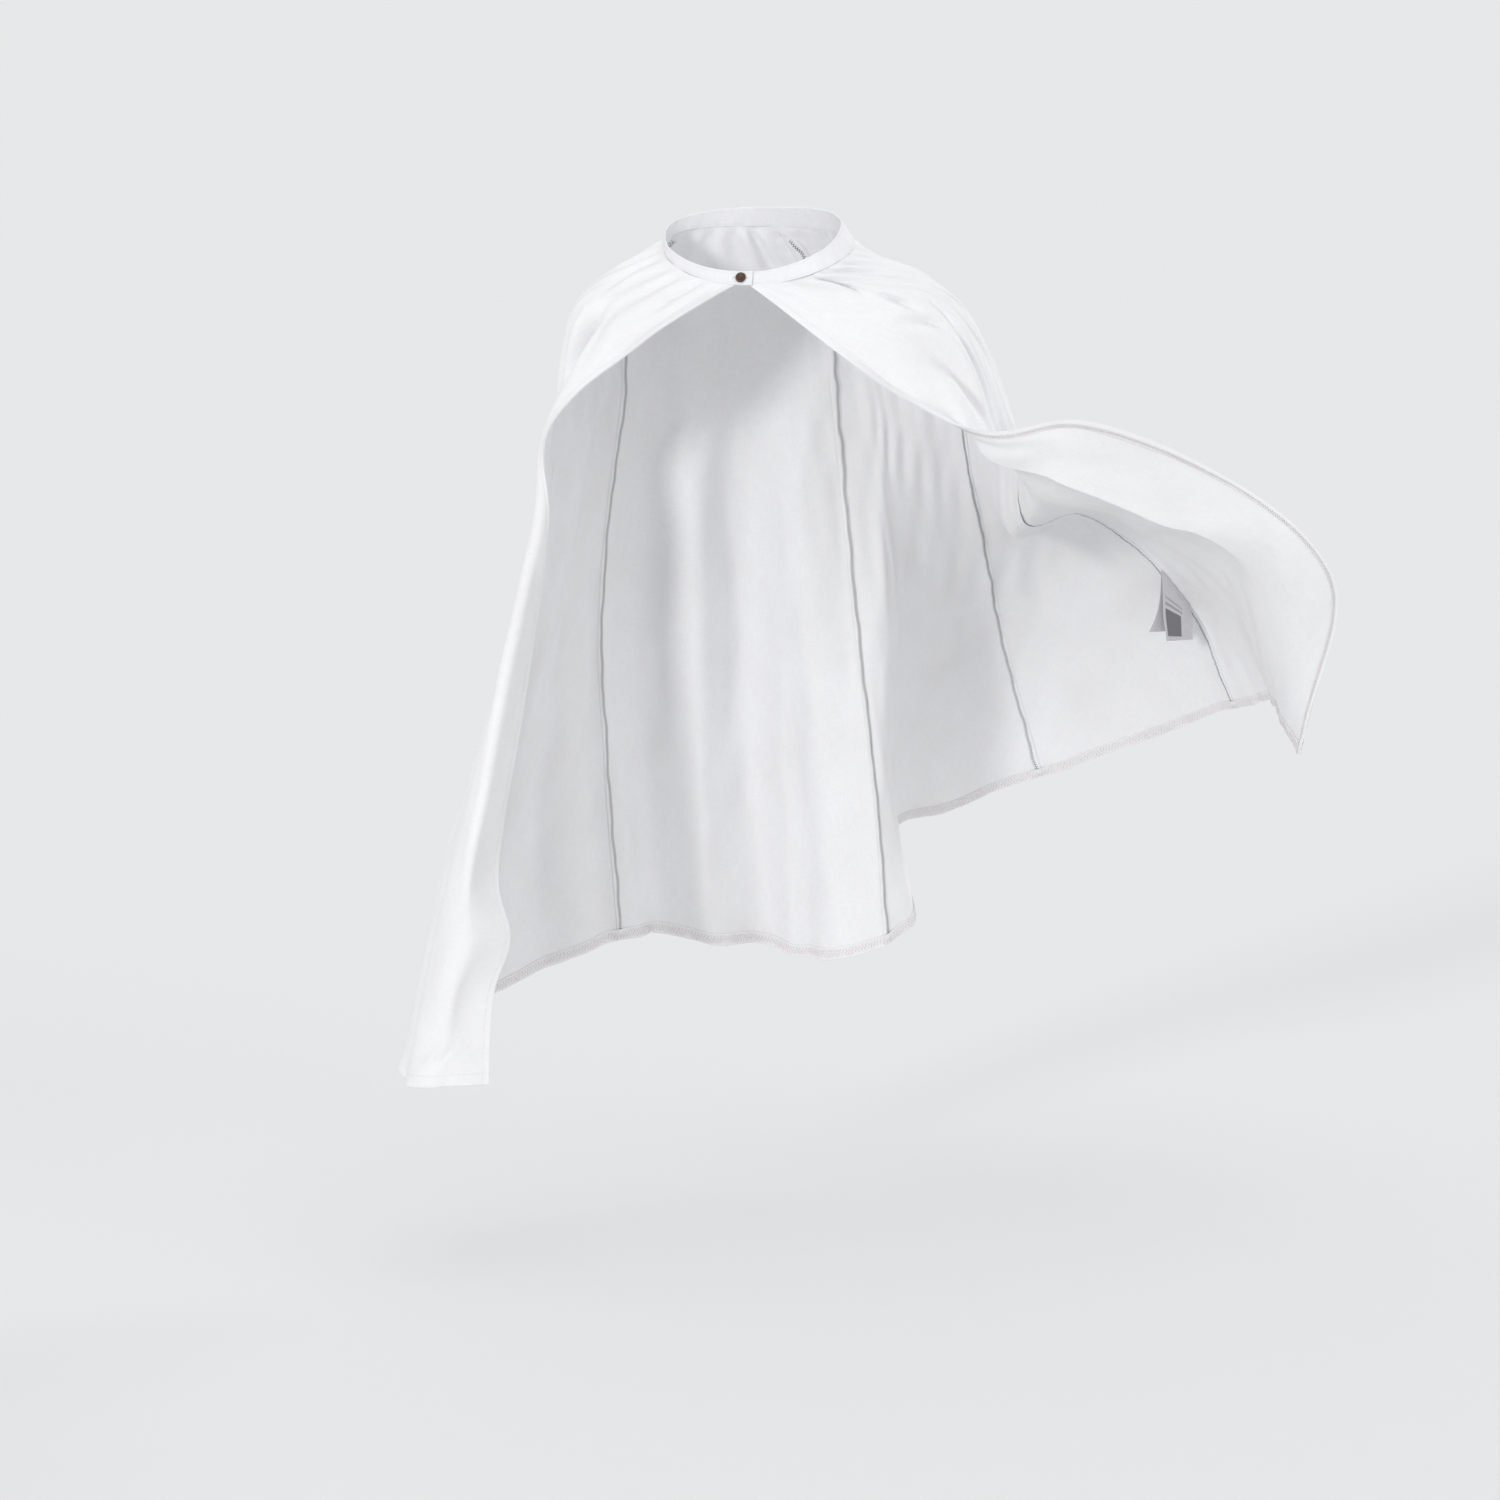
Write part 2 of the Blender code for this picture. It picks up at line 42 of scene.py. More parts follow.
# the cape's cut: ribs from the right front edge, round the back, to the left front edge
# stations down the cloth: neck, shoulder, upper side, where it blows over, middle, lower side and hem
stationDrops = np.array([0.0, 0.12, 0.27, 0.40, 0.53, 0.77, 1.0])
ribs = [  # name, share of the way round, then sideways, back and up at each station below the neck
    ("rightEdge", 0.000, (-0.175, -0.130, -0.125), (-0.315, -0.070, -0.255), (-0.315, -0.050, -0.390),
     (-0.340, -0.010, -0.570), (-0.395, -0.080, -0.920), (-0.405, -0.130, -1.220)),
    ("rightTurn", 0.023, (-0.215, -0.100, -0.115), (-0.315, -0.045, -0.255), (-0.330, -0.050, -0.390),
     (-0.370, -0.050, -0.580), (-0.430, -0.130, -0.920), (-0.470, -0.150, -1.220)),
    ("rightFold", 0.066, (-0.255, -0.050, -0.090), (-0.315, 0.000, -0.250), (-0.335, 0.000, -0.390),
     (-0.390, 0.015, -0.590), (-0.475, -0.040, -0.930), (-0.540, -0.060, -1.232)),
    ("rightSide", 0.132, (-0.270, 0.000, -0.065), (-0.305, 0.060, -0.235), (-0.325, 0.080, -0.380),
     (-0.365, 0.110, -0.575), (-0.470, 0.130, -0.915), (-0.510, 0.120, -1.190)),
    ("rightInner", 0.192, (-0.250, 0.060, -0.050), (-0.270, 0.120, -0.220), (-0.290, 0.145, -0.360),
     (-0.325, 0.180, -0.545), (-0.385, 0.230, -0.885), (-0.405, 0.240, -1.145)),
    ("rightSeam", 0.261, (-0.205, 0.100, -0.055), (-0.215, 0.160, -0.215), (-0.235, 0.195, -0.350),
     (-0.255, 0.240, -0.535), (-0.250, 0.300, -0.815), (-0.230, 0.330, -1.085)),
    ("backRight", 0.337, (-0.110, 0.130, -0.070), (-0.110, 0.190, -0.210), (-0.110, 0.230, -0.345),
     (-0.110, 0.290, -0.530), (-0.105, 0.370, -0.820), (-0.090, 0.420, -1.100)),
    ("backMiddle", 0.410, (0.005, 0.140, -0.075), (0.015, 0.200, -0.210), (0.020, 0.240, -0.345),
     (0.030, 0.300, -0.530), (0.045, 0.370, -0.830), (0.065, 0.410, -1.125)),
    ("pleatSeam", 0.473, (0.090, 0.135, -0.075), (0.105, 0.190, -0.210), (0.120, 0.230, -0.345),
     (0.140, 0.285, -0.535), (0.175, 0.320, -0.835), (0.195, 0.345, -1.095)),
    ("pleatFold", 0.497, (0.125, 0.130, -0.070), (0.145, 0.190, -0.210), (0.160, 0.235, -0.345),
     (0.180, 0.290, -0.535), (0.200, 0.340, -0.825), (0.245, 0.370, -1.065)),
    ("pleatUnder", 0.555, (0.155, 0.120, -0.060), (0.195, 0.185, -0.205), (0.205, 0.250, -0.345),
     (0.220, 0.340, -0.515), (0.215, 0.460, -0.725), (0.200, 0.500, -0.945)),
    ("backLeft", 0.614, (0.190, 0.100, -0.050), (0.250, 0.170, -0.205), (0.270, 0.275, -0.340),
     (0.285, 0.410, -0.500), (0.310, 0.560, -0.700), (0.330, 0.600, -0.910)),
    ("backSeam", 0.670, (0.230, 0.070, -0.035), (0.300, 0.140, -0.210), (0.330, 0.275, -0.345),
     (0.365, 0.450, -0.475), (0.410, 0.610, -0.660), (0.470, 0.650, -0.865)),
    ("leftBack", 0.729, (0.250, 0.020, -0.035), (0.345, 0.090, -0.225), (0.375, 0.235, -0.412),
     (0.445, 0.420, -0.440), (0.530, 0.580, -0.600), (0.630, 0.630, -0.805)),
    ("leftSeam", 0.808, (0.260, -0.030, -0.050), (0.370, 0.030, -0.240), (0.400, 0.130, -0.402),
     (0.500, 0.300, -0.405), (0.680, 0.440, -0.550), (0.775, 0.500, -0.730)),
    ("leftRidge", 0.938, (0.225, -0.085, -0.100), (0.345, -0.085, -0.285), (0.430, -0.095, -0.330),
     (0.560, -0.040, -0.385), (0.725, 0.080, -0.470), (0.825, 0.340, -0.730)),
    ("leftEdge", 1.000, (0.160, -0.135, -0.175), (0.325, -0.130, -0.250), (0.465, -0.070, -0.240),
     (0.640, 0.040, -0.305), (0.860, 0.130, -0.490), (0.835, 0.220, -0.775)),
]
ribShares = np.array([rib[1] for rib in ribs])
ribNames = [rib[0] for rib in ribs]
shareOf = dict(zip(ribNames, ribShares))

cloth = {
    "thickness": 0.0012,
    "length": 1.27,          # neck to hem along the cloth
    "columnWidth": 0.0064,   # mesh columns, measured at the hem
    "neckRows": 44,
    "neckEnd": 0.14,         # share of the length with the closer rows
    "neckCrowding": 1.25,    # above 1 the rows get closer towards the neck
    "bodyRows": 188,
    "hemRows": 6,
    "hemDepth": 0.019,
    "hemRise": 1.6,          # how soon the turned-up layer climbs over a seam allowance
    "foldAngles": (40.0, 90.0, 140.0),  # steps round the hem's fold
    "foldSteps": (0.4, 0.8, 1.2),       # their lengths, in layers
    "foldLength": 0.0022,
    "layer": 0.0015,         # from one layer of cloth to the next where it is turned up
    "neckStart": 0.0014,     # gores start this far from the ring, at the collar's outer face
    "seamGap": 0.0002,
    "seamGroove": 0.0012,    # how far a pressed seam sinks
    "seamGrooveWidth": 0.006,
    "seamPucker": 0.0005,
    "seamPuckerLength": 0.024,
    "seamPuckerReach": 3.0,  # in groove widths
    "seamPuckerSwell": 23.0,
    "closeShares": (0.0, 0.0006, 0.0014, 0.0028),  # closer columns beside each seam and edge
    "closeReach": 0.004,
    "stillTo": 0.02,         # the gathered neck holds the cloth still to here
    "looseFrom": 0.20,
    "sharpAngle": 55.0,      # edges that turn by more are shaded sharp
}
halfCloth = cloth["thickness"] / 2.0

neckRing = {
    "halfWidth": 0.143, "halfDepth": 0.100, "yaw": math.radians(-14.0), "shift": -0.005,
    "frontDip": 0.043, "saddle": 0.008, "slope": 0.030, "frontGap": 0.07,
}

gathers = {
    "count": 26, "depth": 0.0028, "full": 0.020, "end": 0.130, "uneven": 0.45, "swells": 5, "pinch": 0.4,
}

# folds: start and end as (share round, share down), half width, lift (in where negative), how much is left
# at the end, and the profile's power: 2 is soft, 1 comes to a crisp line
folds = [
    ((0.070, 0.075), (0.035, 0.225), 0.017, -0.028, 0.0, 1.2),   # right shoulder crease
    ((0.088, 0.085), (0.050, 0.230), 0.018, 0.007, 0.0, 1.6),    # and the ridge beside it
    ((0.055, 0.070), (0.017, 0.195), 0.014, -0.008, 0.0, 1.2),
    ((0.135, 0.028), (0.078, 0.100), 0.018, -0.007, 0.0, 1.4),
    ((0.017, 0.035), (0.004, 0.195), 0.012, -0.012, 0.0, 1.2),   # along the right front edge
    ((0.028, 0.022), (0.029, 0.052), 0.009, -0.003, 0.0, 1.4),
    ((0.972, 0.085), (0.890, 0.265), 0.027, -0.023, 0.0, 1.6),   # left shoulder trough
    ((0.850, 0.000), (0.940, 0.076), 0.012, -0.012, 0.0, 1.3),   # from the collar on the left
    ((0.912, 0.062), (0.923, 0.120), 0.011, -0.010, 0.0, 1.3),
    ((0.950, 0.096), (0.902, 0.158), 0.013, -0.014, 0.0, 1.3),   # below the left shoulder
    ((0.888, 0.105), (0.892, 0.160), 0.012, -0.005, 0.0, 1.3),
    ((0.898, 0.137), (0.874, 0.212), 0.016, -0.005, 0.0, 1.3),
    ((0.991, 0.075), (0.994, 0.185), 0.010, -0.009, 0.0, 1.3),   # by the left front edge
    ((0.938, 0.260), (0.938, 0.850), 0.022, -0.004, 0.0, 1.0),   # the lifted side's ridge
    ((0.862, 0.290), (0.874, 0.600), 0.056, 0.020, 0.0, 2.0),    # hollow under the ridge
    ((0.967, 0.680), (0.965, 0.790), 0.016, 0.004, 0.0, 1.3),
    ((0.685, 0.720), (0.525, 0.740), 0.042, 0.008, 0.0, 1.5),    # diagonal crease inside
    ((0.056, 0.600), (0.054, 1.000), 0.045, 0.005, 1.0, 2.0),    # swell and trough down the right front
    ((0.018, 0.680), (0.019, 1.000), 0.055, -0.009, 1.0, 2.0),
    ((0.050, 0.984), (0.027, 0.950), 0.009, -0.005, 0.0, 1.3),   # pulls over the hem of the right front
    ((0.041, 0.981), (0.018, 0.953), 0.009, -0.005, 0.0, 1.3),
    ((0.150, 0.300), (0.165, 1.000), 0.060, 0.014, 1.0, 2.0),    # flutes round the back
    ((0.225, 0.250), (0.235, 1.000), 0.055, -0.017, 1.0, 2.0),
    ((0.292, 0.200), (0.297, 1.000), 0.060, 0.022, 1.0, 2.0),
    ((0.335, 0.160), (0.340, 1.000), 0.055, -0.026, 1.0, 2.0),
    ((0.380, 0.140), (0.382, 1.000), 0.065, 0.032, 1.0, 2.0),
    ((0.436, 0.180), (0.438, 1.000), 0.055, -0.026, 1.0, 2.0),
    ((0.640, 0.300), (0.645, 1.000), 0.080, 0.010, 1.0, 2.0),
]

# uneven waves all over the cloth: how many, their lengths, how far they stray from running down, and how
# high they are
wrinkles = [
    {"count": 14, "lengths": (0.16, 0.34), "stray": 0.12, "height": 0.0034, "seed": 11},
    {"count": 22, "lengths": (0.05, 0.12), "stray": 0.35, "height": 0.0009, "seed": 12},
]
hemRipples = [  # the same, and how far they reach up from the hem
    {"count": 16, "lengths": (0.04, 0.12), "stray": 0.1, "height": 0.0018, "seed": 13, "reach": 0.05},
    {"count": 18, "lengths": (0.022, 0.045), "stray": 0.15, "height": 0.0006, "seed": 14, "reach": 0.03},
]

# sways of the free edges: share round, share down, reach each way, then the move sideways, back and up
sways = [
    (0.0, 0.835, 0.035, 0.045, (0.028, 0.0, 0.0)),     # right front edge, above the hem
    (1.0, 0.800, 0.060, 0.090, (0.012, 0.0, 0.0)),     # left front edge, where it turns down
    (0.938, 0.272, 0.026, 0.060, (-0.026, -0.024, -0.007)),  # start of the ridge
]


def unit(vectors):
    return vectors / np.maximum(np.linalg.norm(vectors, axis=-1, keepdims=True), 1e-12)


def ramp(value, start, end):
    t = np.clip((value - start) / (end - start), 0.0, 1.0)
    return t * t * (3.0 - 2.0 * t)


def neckPoint(angle):  # angles run from the centre front to the right and on round
    ring = neckRing
    x = -ring["halfWidth"] * np.sin(angle)
    y = -ring["halfDepth"] * np.cos(angle)
    across = x * math.cos(ring["yaw"]) - y * math.sin(ring["yaw"])
    back = x * math.sin(ring["yaw"]) + y * math.cos(ring["yaw"])
    up = ring["saddle"] * (1.0 - np.cos(2.0 * angle)) - ring["frontDip"] * np.cos(angle)
    return np.stack([across + ring["shift"], back, up - ring["slope"] * across], axis=-1)


def ribNet():
    angles = np.linspace(neckRing["frontGap"], fullTurn - neckRing["frontGap"], len(ribs))
    rows = [neckPoint(angles)]
    for station in range(1, len(stationDrops)):
        rows.append([rib[station + 1] for rib in ribs])
    return np.array(rows)


def smoothThrough(knots, values, places, corner=None):  # smooth curve along the first axis
    shape = (-1,) + (1,) * (values.ndim - 1)
    gaps = np.diff(knots).reshape(shape)
    secants = np.diff(values, axis=0) / gaps
    inner = (secants[:-1] * gaps[1:] + secants[1:] * gaps[:-1]) / (gaps[1:] + gaps[:-1])
    leave = np.concatenate([secants[:1], inner, secants[-1:]])
    arrive = leave.copy()
    if corner:  # one knot where the curve may turn sharply, and how sharply
        knot, sharp = corner
        arrive[knot] += sharp * (secants[knot - 1] - arrive[knot])
        leave[knot] += sharp * (secants[knot] - leave[knot])
    before = np.clip(np.searchsorted(knots, places, side="right") - 1, 0, len(knots) - 2)
    gap = knots[before + 1] - knots[before]
    t = (places - knots[before]) / gap
    gap, t = gap.reshape(shape), t.reshape(shape)
    return (values[before] * (1.0 + 2.0 * t) * (1.0 - t) ** 2 + values[before + 1] * t * t * (3.0 - 2.0 * t)
            + leave[before] * gap * t * (1.0 - t) ** 2 + arrive[before + 1] * gap * t * t * (t - 1.0))


ridge = {"rib": "leftRidge", "sharp": 0.9, "from": 0.27, "full": 0.38, "soften": 0.70, "end": 0.95}
net = ribNet()
girths = np.linalg.norm(np.diff(net, axis=1), axis=2).sum(axis=1)


def girthAt(drops):
    return np.interp(drops, stationDrops, girths)


def plainGrid(shares, drops):  # rows down, columns round
    rings = smoothThrough(stationDrops, net, drops)
    fading = ramp(drops, ridge["soften"], ridge["end"])
    sharp = ridge["sharp"] * ramp(drops, ridge["from"], ridge["full"]) * (1.0 - fading)
    corner = (ribNames.index(ridge["rib"]), sharp[:, None])
    return np.swapaxes(smoothThrough(ribShares, np.swapaxes(rings, 0, 1), shares, corner), 0, 1)


def gridNormals(points):
    return unit(np.cross(np.gradient(points, axis=1), np.gradient(points, axis=0)))


def foldLift(fold, share, drop):  # measured on the cloth laid flat
    start, end, halfWidth, lift, left, power = fold
    girth = girthAt(drop)
    across, down = (end[0] - start[0]) * girth, (end[1] - start[1]) * cloth["length"]
    fromAcross, fromDown = (share - start[0]) * girth, (drop - start[1]) * cloth["length"]
    length = np.hypot(across, down)
    along = (fromAcross * across + fromDown * down) / length ** 2
    aside = np.abs(fromAcross * down - fromDown * across) / length
    near = np.clip(1.0 - (aside / halfWidth) ** power, 0.0, 1.0) ** 2
    return lift * near * ramp(along, 0.0, 0.5) * (1.0 - (1.0 - left) * ramp(along, 0.5, 1.0))


def gatherLift(share, drop):
    turn = fullTurn * np.interp(share, ribShares, np.linspace(0.0, 1.0, len(ribs)))
    uneven = 1.0 + gathers["uneven"] * np.sin(gathers["swells"] * turn)
    fade = ramp(drop, 0.0, gathers["full"]) * (1.0 - ramp(drop, gathers["full"], gathers["end"]))
    wave = np.cos(gathers["count"] * turn)
    return gathers["depth"] * uneven * fade * (wave - gathers["pinch"] * (1.0 - wave) ** 2 / 4.0)


def waves(share, drop, settings):  # seeded, with crests that fan out down the cloth
    draw = np.random.default_rng(settings["seed"])
    total = np.zeros_like(share)
    for _ in range(settings["count"]):
        length = draw.uniform(*settings["lengths"])
        stray = draw.normal(0.0, settings["stray"])
        phase = draw.uniform(0.0, fullTurn)
        place = share * girths[-1] * math.cos(stray) + drop * cloth["length"] * math.sin(stray)
        total += np.sin(fullTurn * place / length + phase)
    return settings["height"] * total * math.sqrt(2.0 / settings["count"])


# gores, from the right front round to the left front
gores = [
    ("front_right", "rightEdge", "rightSeam"),
    ("back_right", "rightSeam", "pleatSeam"),
    ("back_centre", "pleatSeam", "backSeam"),
    ("back_left", "backSeam", "leftSeam"),
    ("front_left", "leftSeam", "leftEdge"),
]
seamNames = [gore[2] for gore in gores[:-1]]
seamShares = [shareOf[name] for name in seamNames]


def goreShares(gore):
    first, last = shareOf[gore[1]], shareOf[gore[2]]
    count = int(round((last - first) * girths[-1] / cloth["columnWidth"]))
    even = np.linspace(first, last, count + 1)[1:-1]
    close = np.array(cloth["closeShares"])
    middle = even[(even - first > cloth["closeReach"]) & (last - even > cloth["closeReach"])]
    return np.concatenate([first + close, middle, (last - close)[::-1]])


def seamDip(share, drop):
    girth = girthAt(drop)
    total = np.zeros_like(share)
    for number, seam in enumerate(seamShares):
        near = np.exp(-((share - seam) * girth / cloth["seamGrooveWidth"]) ** 2)
        reach = cloth["seamPuckerReach"] * cloth["seamGrooveWidth"]
        beside = np.exp(-((share - seam) * girth / reach) ** 2)
        pucker = np.sin(fullTurn * drop * cloth["length"] / cloth["seamPuckerLength"] + 2.0 * number)
        pucker = pucker * np.sin(drop * cloth["seamPuckerSwell"] + number)
        total += beside * pucker * cloth["seamPucker"] - near * cloth["seamGroove"]
    return total


def buildCape():
    hemShare = cloth["hemDepth"] / cloth["length"]
    drops = np.concatenate([
        cloth["neckEnd"] * np.linspace(0.0, 1.0, cloth["neckRows"]) ** cloth["neckCrowding"],
        np.linspace(cloth["neckEnd"], 1.0 - hemShare, cloth["bodyRows"])[1:],
        np.linspace(1.0 - hemShare, 1.0, cloth["hemRows"])[1:],
    ])
    drops[0] = cloth["neckStart"] / cloth["length"]
    shares = np.unique(np.concatenate([goreShares(gore) for gore in gores]).round(7))
    share, drop = np.meshgrid(shares, drops)
    points = plainGrid(shares, drops)
    for atShare, atDrop, reachShare, reachDrop, move in sways:
        near = np.exp(-((share - atShare) / reachShare) ** 2 - ((drop - atDrop) / reachDrop) ** 2)
        points = points + near[..., None] * np.array(move)
    lift = gatherLift(share, drop) + seamDip(share, drop)
    for fold in folds:
        lift = lift + foldLift(fold, share, drop)
    loose = ramp(drop, cloth["stillTo"], cloth["looseFrom"])
    for settings in wrinkles:
        lift = lift + loose * waves(share, drop, settings)
    for settings in hemRipples:
        nearHem = np.clip(1.0 - (1.0 - drop) * cloth["length"] / settings["reach"], 0.0, 1.0) ** 2
        lift = lift + nearHem * waves(share, drop, settings)
    points = points + gridNormals(points) * lift[..., None]
    return {"shares": shares, "drops": drops, "points": points, "normals": gridNormals(points)}


cape = buildCape()
print("cape surface", cape["points"].shape)


def capeAt(shares, drops):  # points and normals of the finished cloth's middle surface
    shares, drops = np.broadcast_arrays(np.asarray(shares, float), np.asarray(drops, float))
    column = np.clip(np.searchsorted(cape["shares"], shares) - 1, 0, len(cape["shares"]) - 2)
    row = np.clip(np.searchsorted(cape["drops"], drops) - 1, 0, len(cape["drops"]) - 2)
    s = (shares - cape["shares"][column]) / (cape["shares"][column + 1] - cape["shares"][column])
    d = (drops - cape["drops"][row]) / (cape["drops"][row + 1] - cape["drops"][row])
    s, d = s[..., None], d[..., None]
    found = []
    for grid in (cape["points"], cape["normals"]):
        upper = grid[row, column] * (1.0 - s) + grid[row, column + 1] * s
        lower = grid[row + 1, column] * (1.0 - s) + grid[row + 1, column + 1] * s
        found.append(upper * (1.0 - d) + lower * d)
    return found[0], unit(found[1])


def onCape(shares, drops, lift):
    points, normals = capeAt(shares, drops)
    return points + normals * np.broadcast_to(lift, points.shape[:-1])[..., None]


# finishes
def feed(tree, node, inputs):  # values or sockets, by the input's name or number
    for key, value in inputs.items():
        if isinstance(value, bpy.types.NodeSocket):
            tree.links.new(value, node.inputs[key])
        else:
            node.inputs[key].default_value = value
    return node


def addNode(tree, kind, inputs=None, **settings):
    node = tree.nodes.new(kind)
    for name, value in settings.items():
        setattr(node, name, value)
    return feed(tree, node, inputs or {})


def newMaterial(name):
    material = bpy.data.materials.new(name)
    material.use_nodes = True
    return material, material.node_tree, material.node_tree.nodes["Principled BSDF"]


def mathNode(tree, operation, *values):
    return addNode(tree, "ShaderNodeMath", dict(enumerate(values)), operation=operation).outputs[0]


def noiseNode(tree, vector, scale, detail, roughness):
    spread = addNode(tree, "ShaderNodeVectorMath", {0: vector, 1: scale}, operation="MULTIPLY").outputs[0]
    inputs = {"Vector": spread, "Scale": 1.0, "Detail": detail, "Roughness": roughness}
    return addNode(tree, "ShaderNodeTexNoise", inputs).outputs[0]


def rampNode(tree, value, low, high, outLow, outHigh):
    inputs = {"Value": value, "From Min": low, "From Max": high, "To Min": outLow, "To Max": outHigh}
    return addNode(tree, "ShaderNodeMapRange", inputs).outputs[0]


def mixColour(tree, factor, first, second):  # inputs 6 and 7 and output 2 are the colours
    colours = [c if isinstance(c, bpy.types.NodeSocket) else (*c, 1.0) for c in (first, second)]
    inputs = {"Factor": factor, 6: colours[0], 7: colours[1]}
    return addNode(tree, "ShaderNodeMix", inputs, data_type="RGBA").outputs[2]


def bumpNode(tree, height, look):
    inputs = {"Strength": look["bump"], "Distance": look["depth"], "Height": height}
    return addNode(tree, "ShaderNodeBump", inputs).outputs["Normal"]


# noise per metre across and down the cloth, its detail and its roughness
weaveNoise = {
    "along": ((70.0, 1100.0, 1.0), 2.0, 0.5), "down": ((1100.0, 50.0, 1.0), 2.0, 0.5),
    "patches": ((9.0, 6.0, 1.0), 5.0, 0.6),
}


def makeWeaveGroup():  # plain weave with slubs, from a map in metres
    group = bpy.data.node_groups.new("plainWeave", "ShaderNodeTree")
    group.interface.new_socket("Flat", in_out="INPUT", socket_type="NodeSocketVector")
    for name in ("Pitch", "Slub"):
        group.interface.new_socket(name, in_out="INPUT", socket_type="NodeSocketFloat")
    for name in ("Height", "Slubs", "Patches"):
        group.interface.new_socket(name, in_out="OUTPUT", socket_type="NodeSocketFloat")
    given = addNode(group, "NodeGroupInput").outputs
    flat = addNode(group, "ShaderNodeSeparateXYZ", {0: given["Flat"]}).outputs
    turns = mathNode(group, "DIVIDE", fullTurn, given["Pitch"])
    warp = mathNode(group, "SINE", mathNode(group, "MULTIPLY", flat["X"], turns))
    weft = mathNode(group, "SINE", mathNode(group, "MULTIPLY", flat["Y"], turns))
    weave = mathNode(group, "MULTIPLY_ADD", mathNode(group, "MULTIPLY", warp, weft), 0.5, 0.5)
    along, down, patches = [noiseNode(group, given["Flat"], *noise) for noise in weaveNoise.values()]
    slubs = mathNode(group, "MULTIPLY", mathNode(group, "ADD", along, down), 0.5)
    slubShare = mathNode(group, "MULTIPLY", slubs, given["Slub"])
    weaveShare = mathNode(group, "SUBTRACT", 1.0, given["Slub"])
    height = mathNode(group, "MULTIPLY_ADD", weave, weaveShare, slubShare)
    addNode(group, "NodeGroupOutput", {"Height": height, "Slubs": slubs, "Patches": patches})
    return group


weaveGroup = makeWeaveGroup()


def wovenMaterial(name, look):
    material, tree, shader = newMaterial(name)
    flat = addNode(tree, "ShaderNodeUVMap", uv_map="UVMap").outputs["UV"]
    inputs = {"Flat": flat, "Pitch": look["pitch"], "Slub": look["slub"]}
    weave = addNode(tree, "ShaderNodeGroup", inputs, node_tree=weaveGroup).outputs
    patches = rampNode(tree, weave["Patches"], *look["patchRange"], 0.0, 1.0)
    base = mixColour(tree, patches, look["light"], look["worn"])
    between = rampNode(tree, weave["Slubs"], *look["threadRange"], look["threadMix"], 0.0)
    rough, swing = look["rough"], look["roughSwing"]
    feed(tree, shader, {
        "Base Color": mixColour(tree, between, base, look["between"]),
        "Roughness": rampNode(tree, weave["Height"], 0.0, 1.0, rough + swing, rough - swing),
        "Specular IOR Level": look["gloss"], "Sheen Weight": look["sheen"],
        "Sheen Roughness": look["sheenRough"], "Normal": bumpNode(tree, weave["Height"], look),
    })
    return material


canvasLook = {
    "pitch": 0.0010, "slub": 0.55, "light": (0.815, 0.815, 0.825), "worn": (0.770, 0.768, 0.775),
    "between": (0.66, 0.66, 0.69), "patchRange": (0.35, 0.70), "threadRange": (0.40, 0.62),
    "threadMix": 0.35, "rough": 0.88, "roughSwing": 0.05, "gloss": 0.25, "sheen": 0.10, "sheenRough": 0.5,
    "bump": 0.35, "depth": 0.0006,
}
# the collar's copy of the canvas is a little darker and cooler: painted shade on the same white cloth
shadedCollarLook = dict(
    canvasLook, light=(0.80, 0.80, 0.815), worn=(0.745, 0.742, 0.755), between=(0.64, 0.64, 0.67),
)
# the label satin's grey colours, darker than the canvas, are painted shade on a pale satin label
shadedSatinLook = dict(
    canvasLook, pitch=0.0005, slub=0.8, light=(0.66, 0.65, 0.67), worn=(0.58, 0.57, 0.59),
    between=(0.50, 0.49, 0.51), threadMix=0.5, rough=0.45, sheen=0.0, bump=0.25, depth=0.0003,
)
canvas = wovenMaterial("whiteCanvas", canvasLook)
shadedCollarCanvas = wovenMaterial("shadedCollarCanvas", shadedCollarLook)
satin = wovenMaterial("labelSatin", shadedSatinLook)

labelPrint = {
    "ink": (0.10, 0.095, 0.105),
    "softness": 0.0006,
    "bars": [  # plain dark bars: across from and to, down from and to, how dark
        (0.006, 0.048, 0.058, 0.104, 0.80),
        (0.006, 0.052, 0.047, 0.052, 0.45),
        (0.006, 0.052, 0.037, 0.041, 0.35),
    ],
}


def printLabel(material):  # bars on the label's map, with slightly soft edges
    tree = material.node_tree
    shader = tree.nodes["Principled BSDF"]
    plainColour = shader.inputs["Base Color"].links[0].from_socket
    flat = addNode(tree, "ShaderNodeUVMap", uv_map="UVMap").outputs["UV"]
    place = addNode(tree, "ShaderNodeSeparateXYZ", {0: flat}).outputs
    soft = labelPrint["softness"]
    total = 0.0
    for left, right, top, bottom, dark in labelPrint["bars"]:
        bar = dark
        for value, low, high in ((place["X"], left, right), (place["Y"], top, bottom)):
            bar = mathNode(tree, "MULTIPLY", rampNode(tree, value, low - soft, low + soft, 0.0, 1.0), bar)
            bar = mathNode(tree, "MULTIPLY", rampNode(tree, value, high - soft, high + soft, 1.0, 0.0), bar)
        total = mathNode(tree, "MAXIMUM", total, bar)
    feed(tree, shader, {"Base Color": mixColour(tree, total, plainColour, labelPrint["ink"])})


printedSatin = satin.copy()
printedSatin.name = "printedSatin"
printLabel(printedSatin)

threadTones = {  # light and dark
    "white": ((0.80, 0.80, 0.81), (0.66, 0.66, 0.68)),
    "grey": ((0.17, 0.165, 0.175), (0.09, 0.088, 0.095)),
    "rose": ((0.52, 0.46, 0.455), (0.40, 0.345, 0.345)),
    "pale": ((0.72, 0.665, 0.665), (0.60, 0.545, 0.545)),
    "brown": ((0.14, 0.075, 0.05), (0.07, 0.035, 0.024)),
}
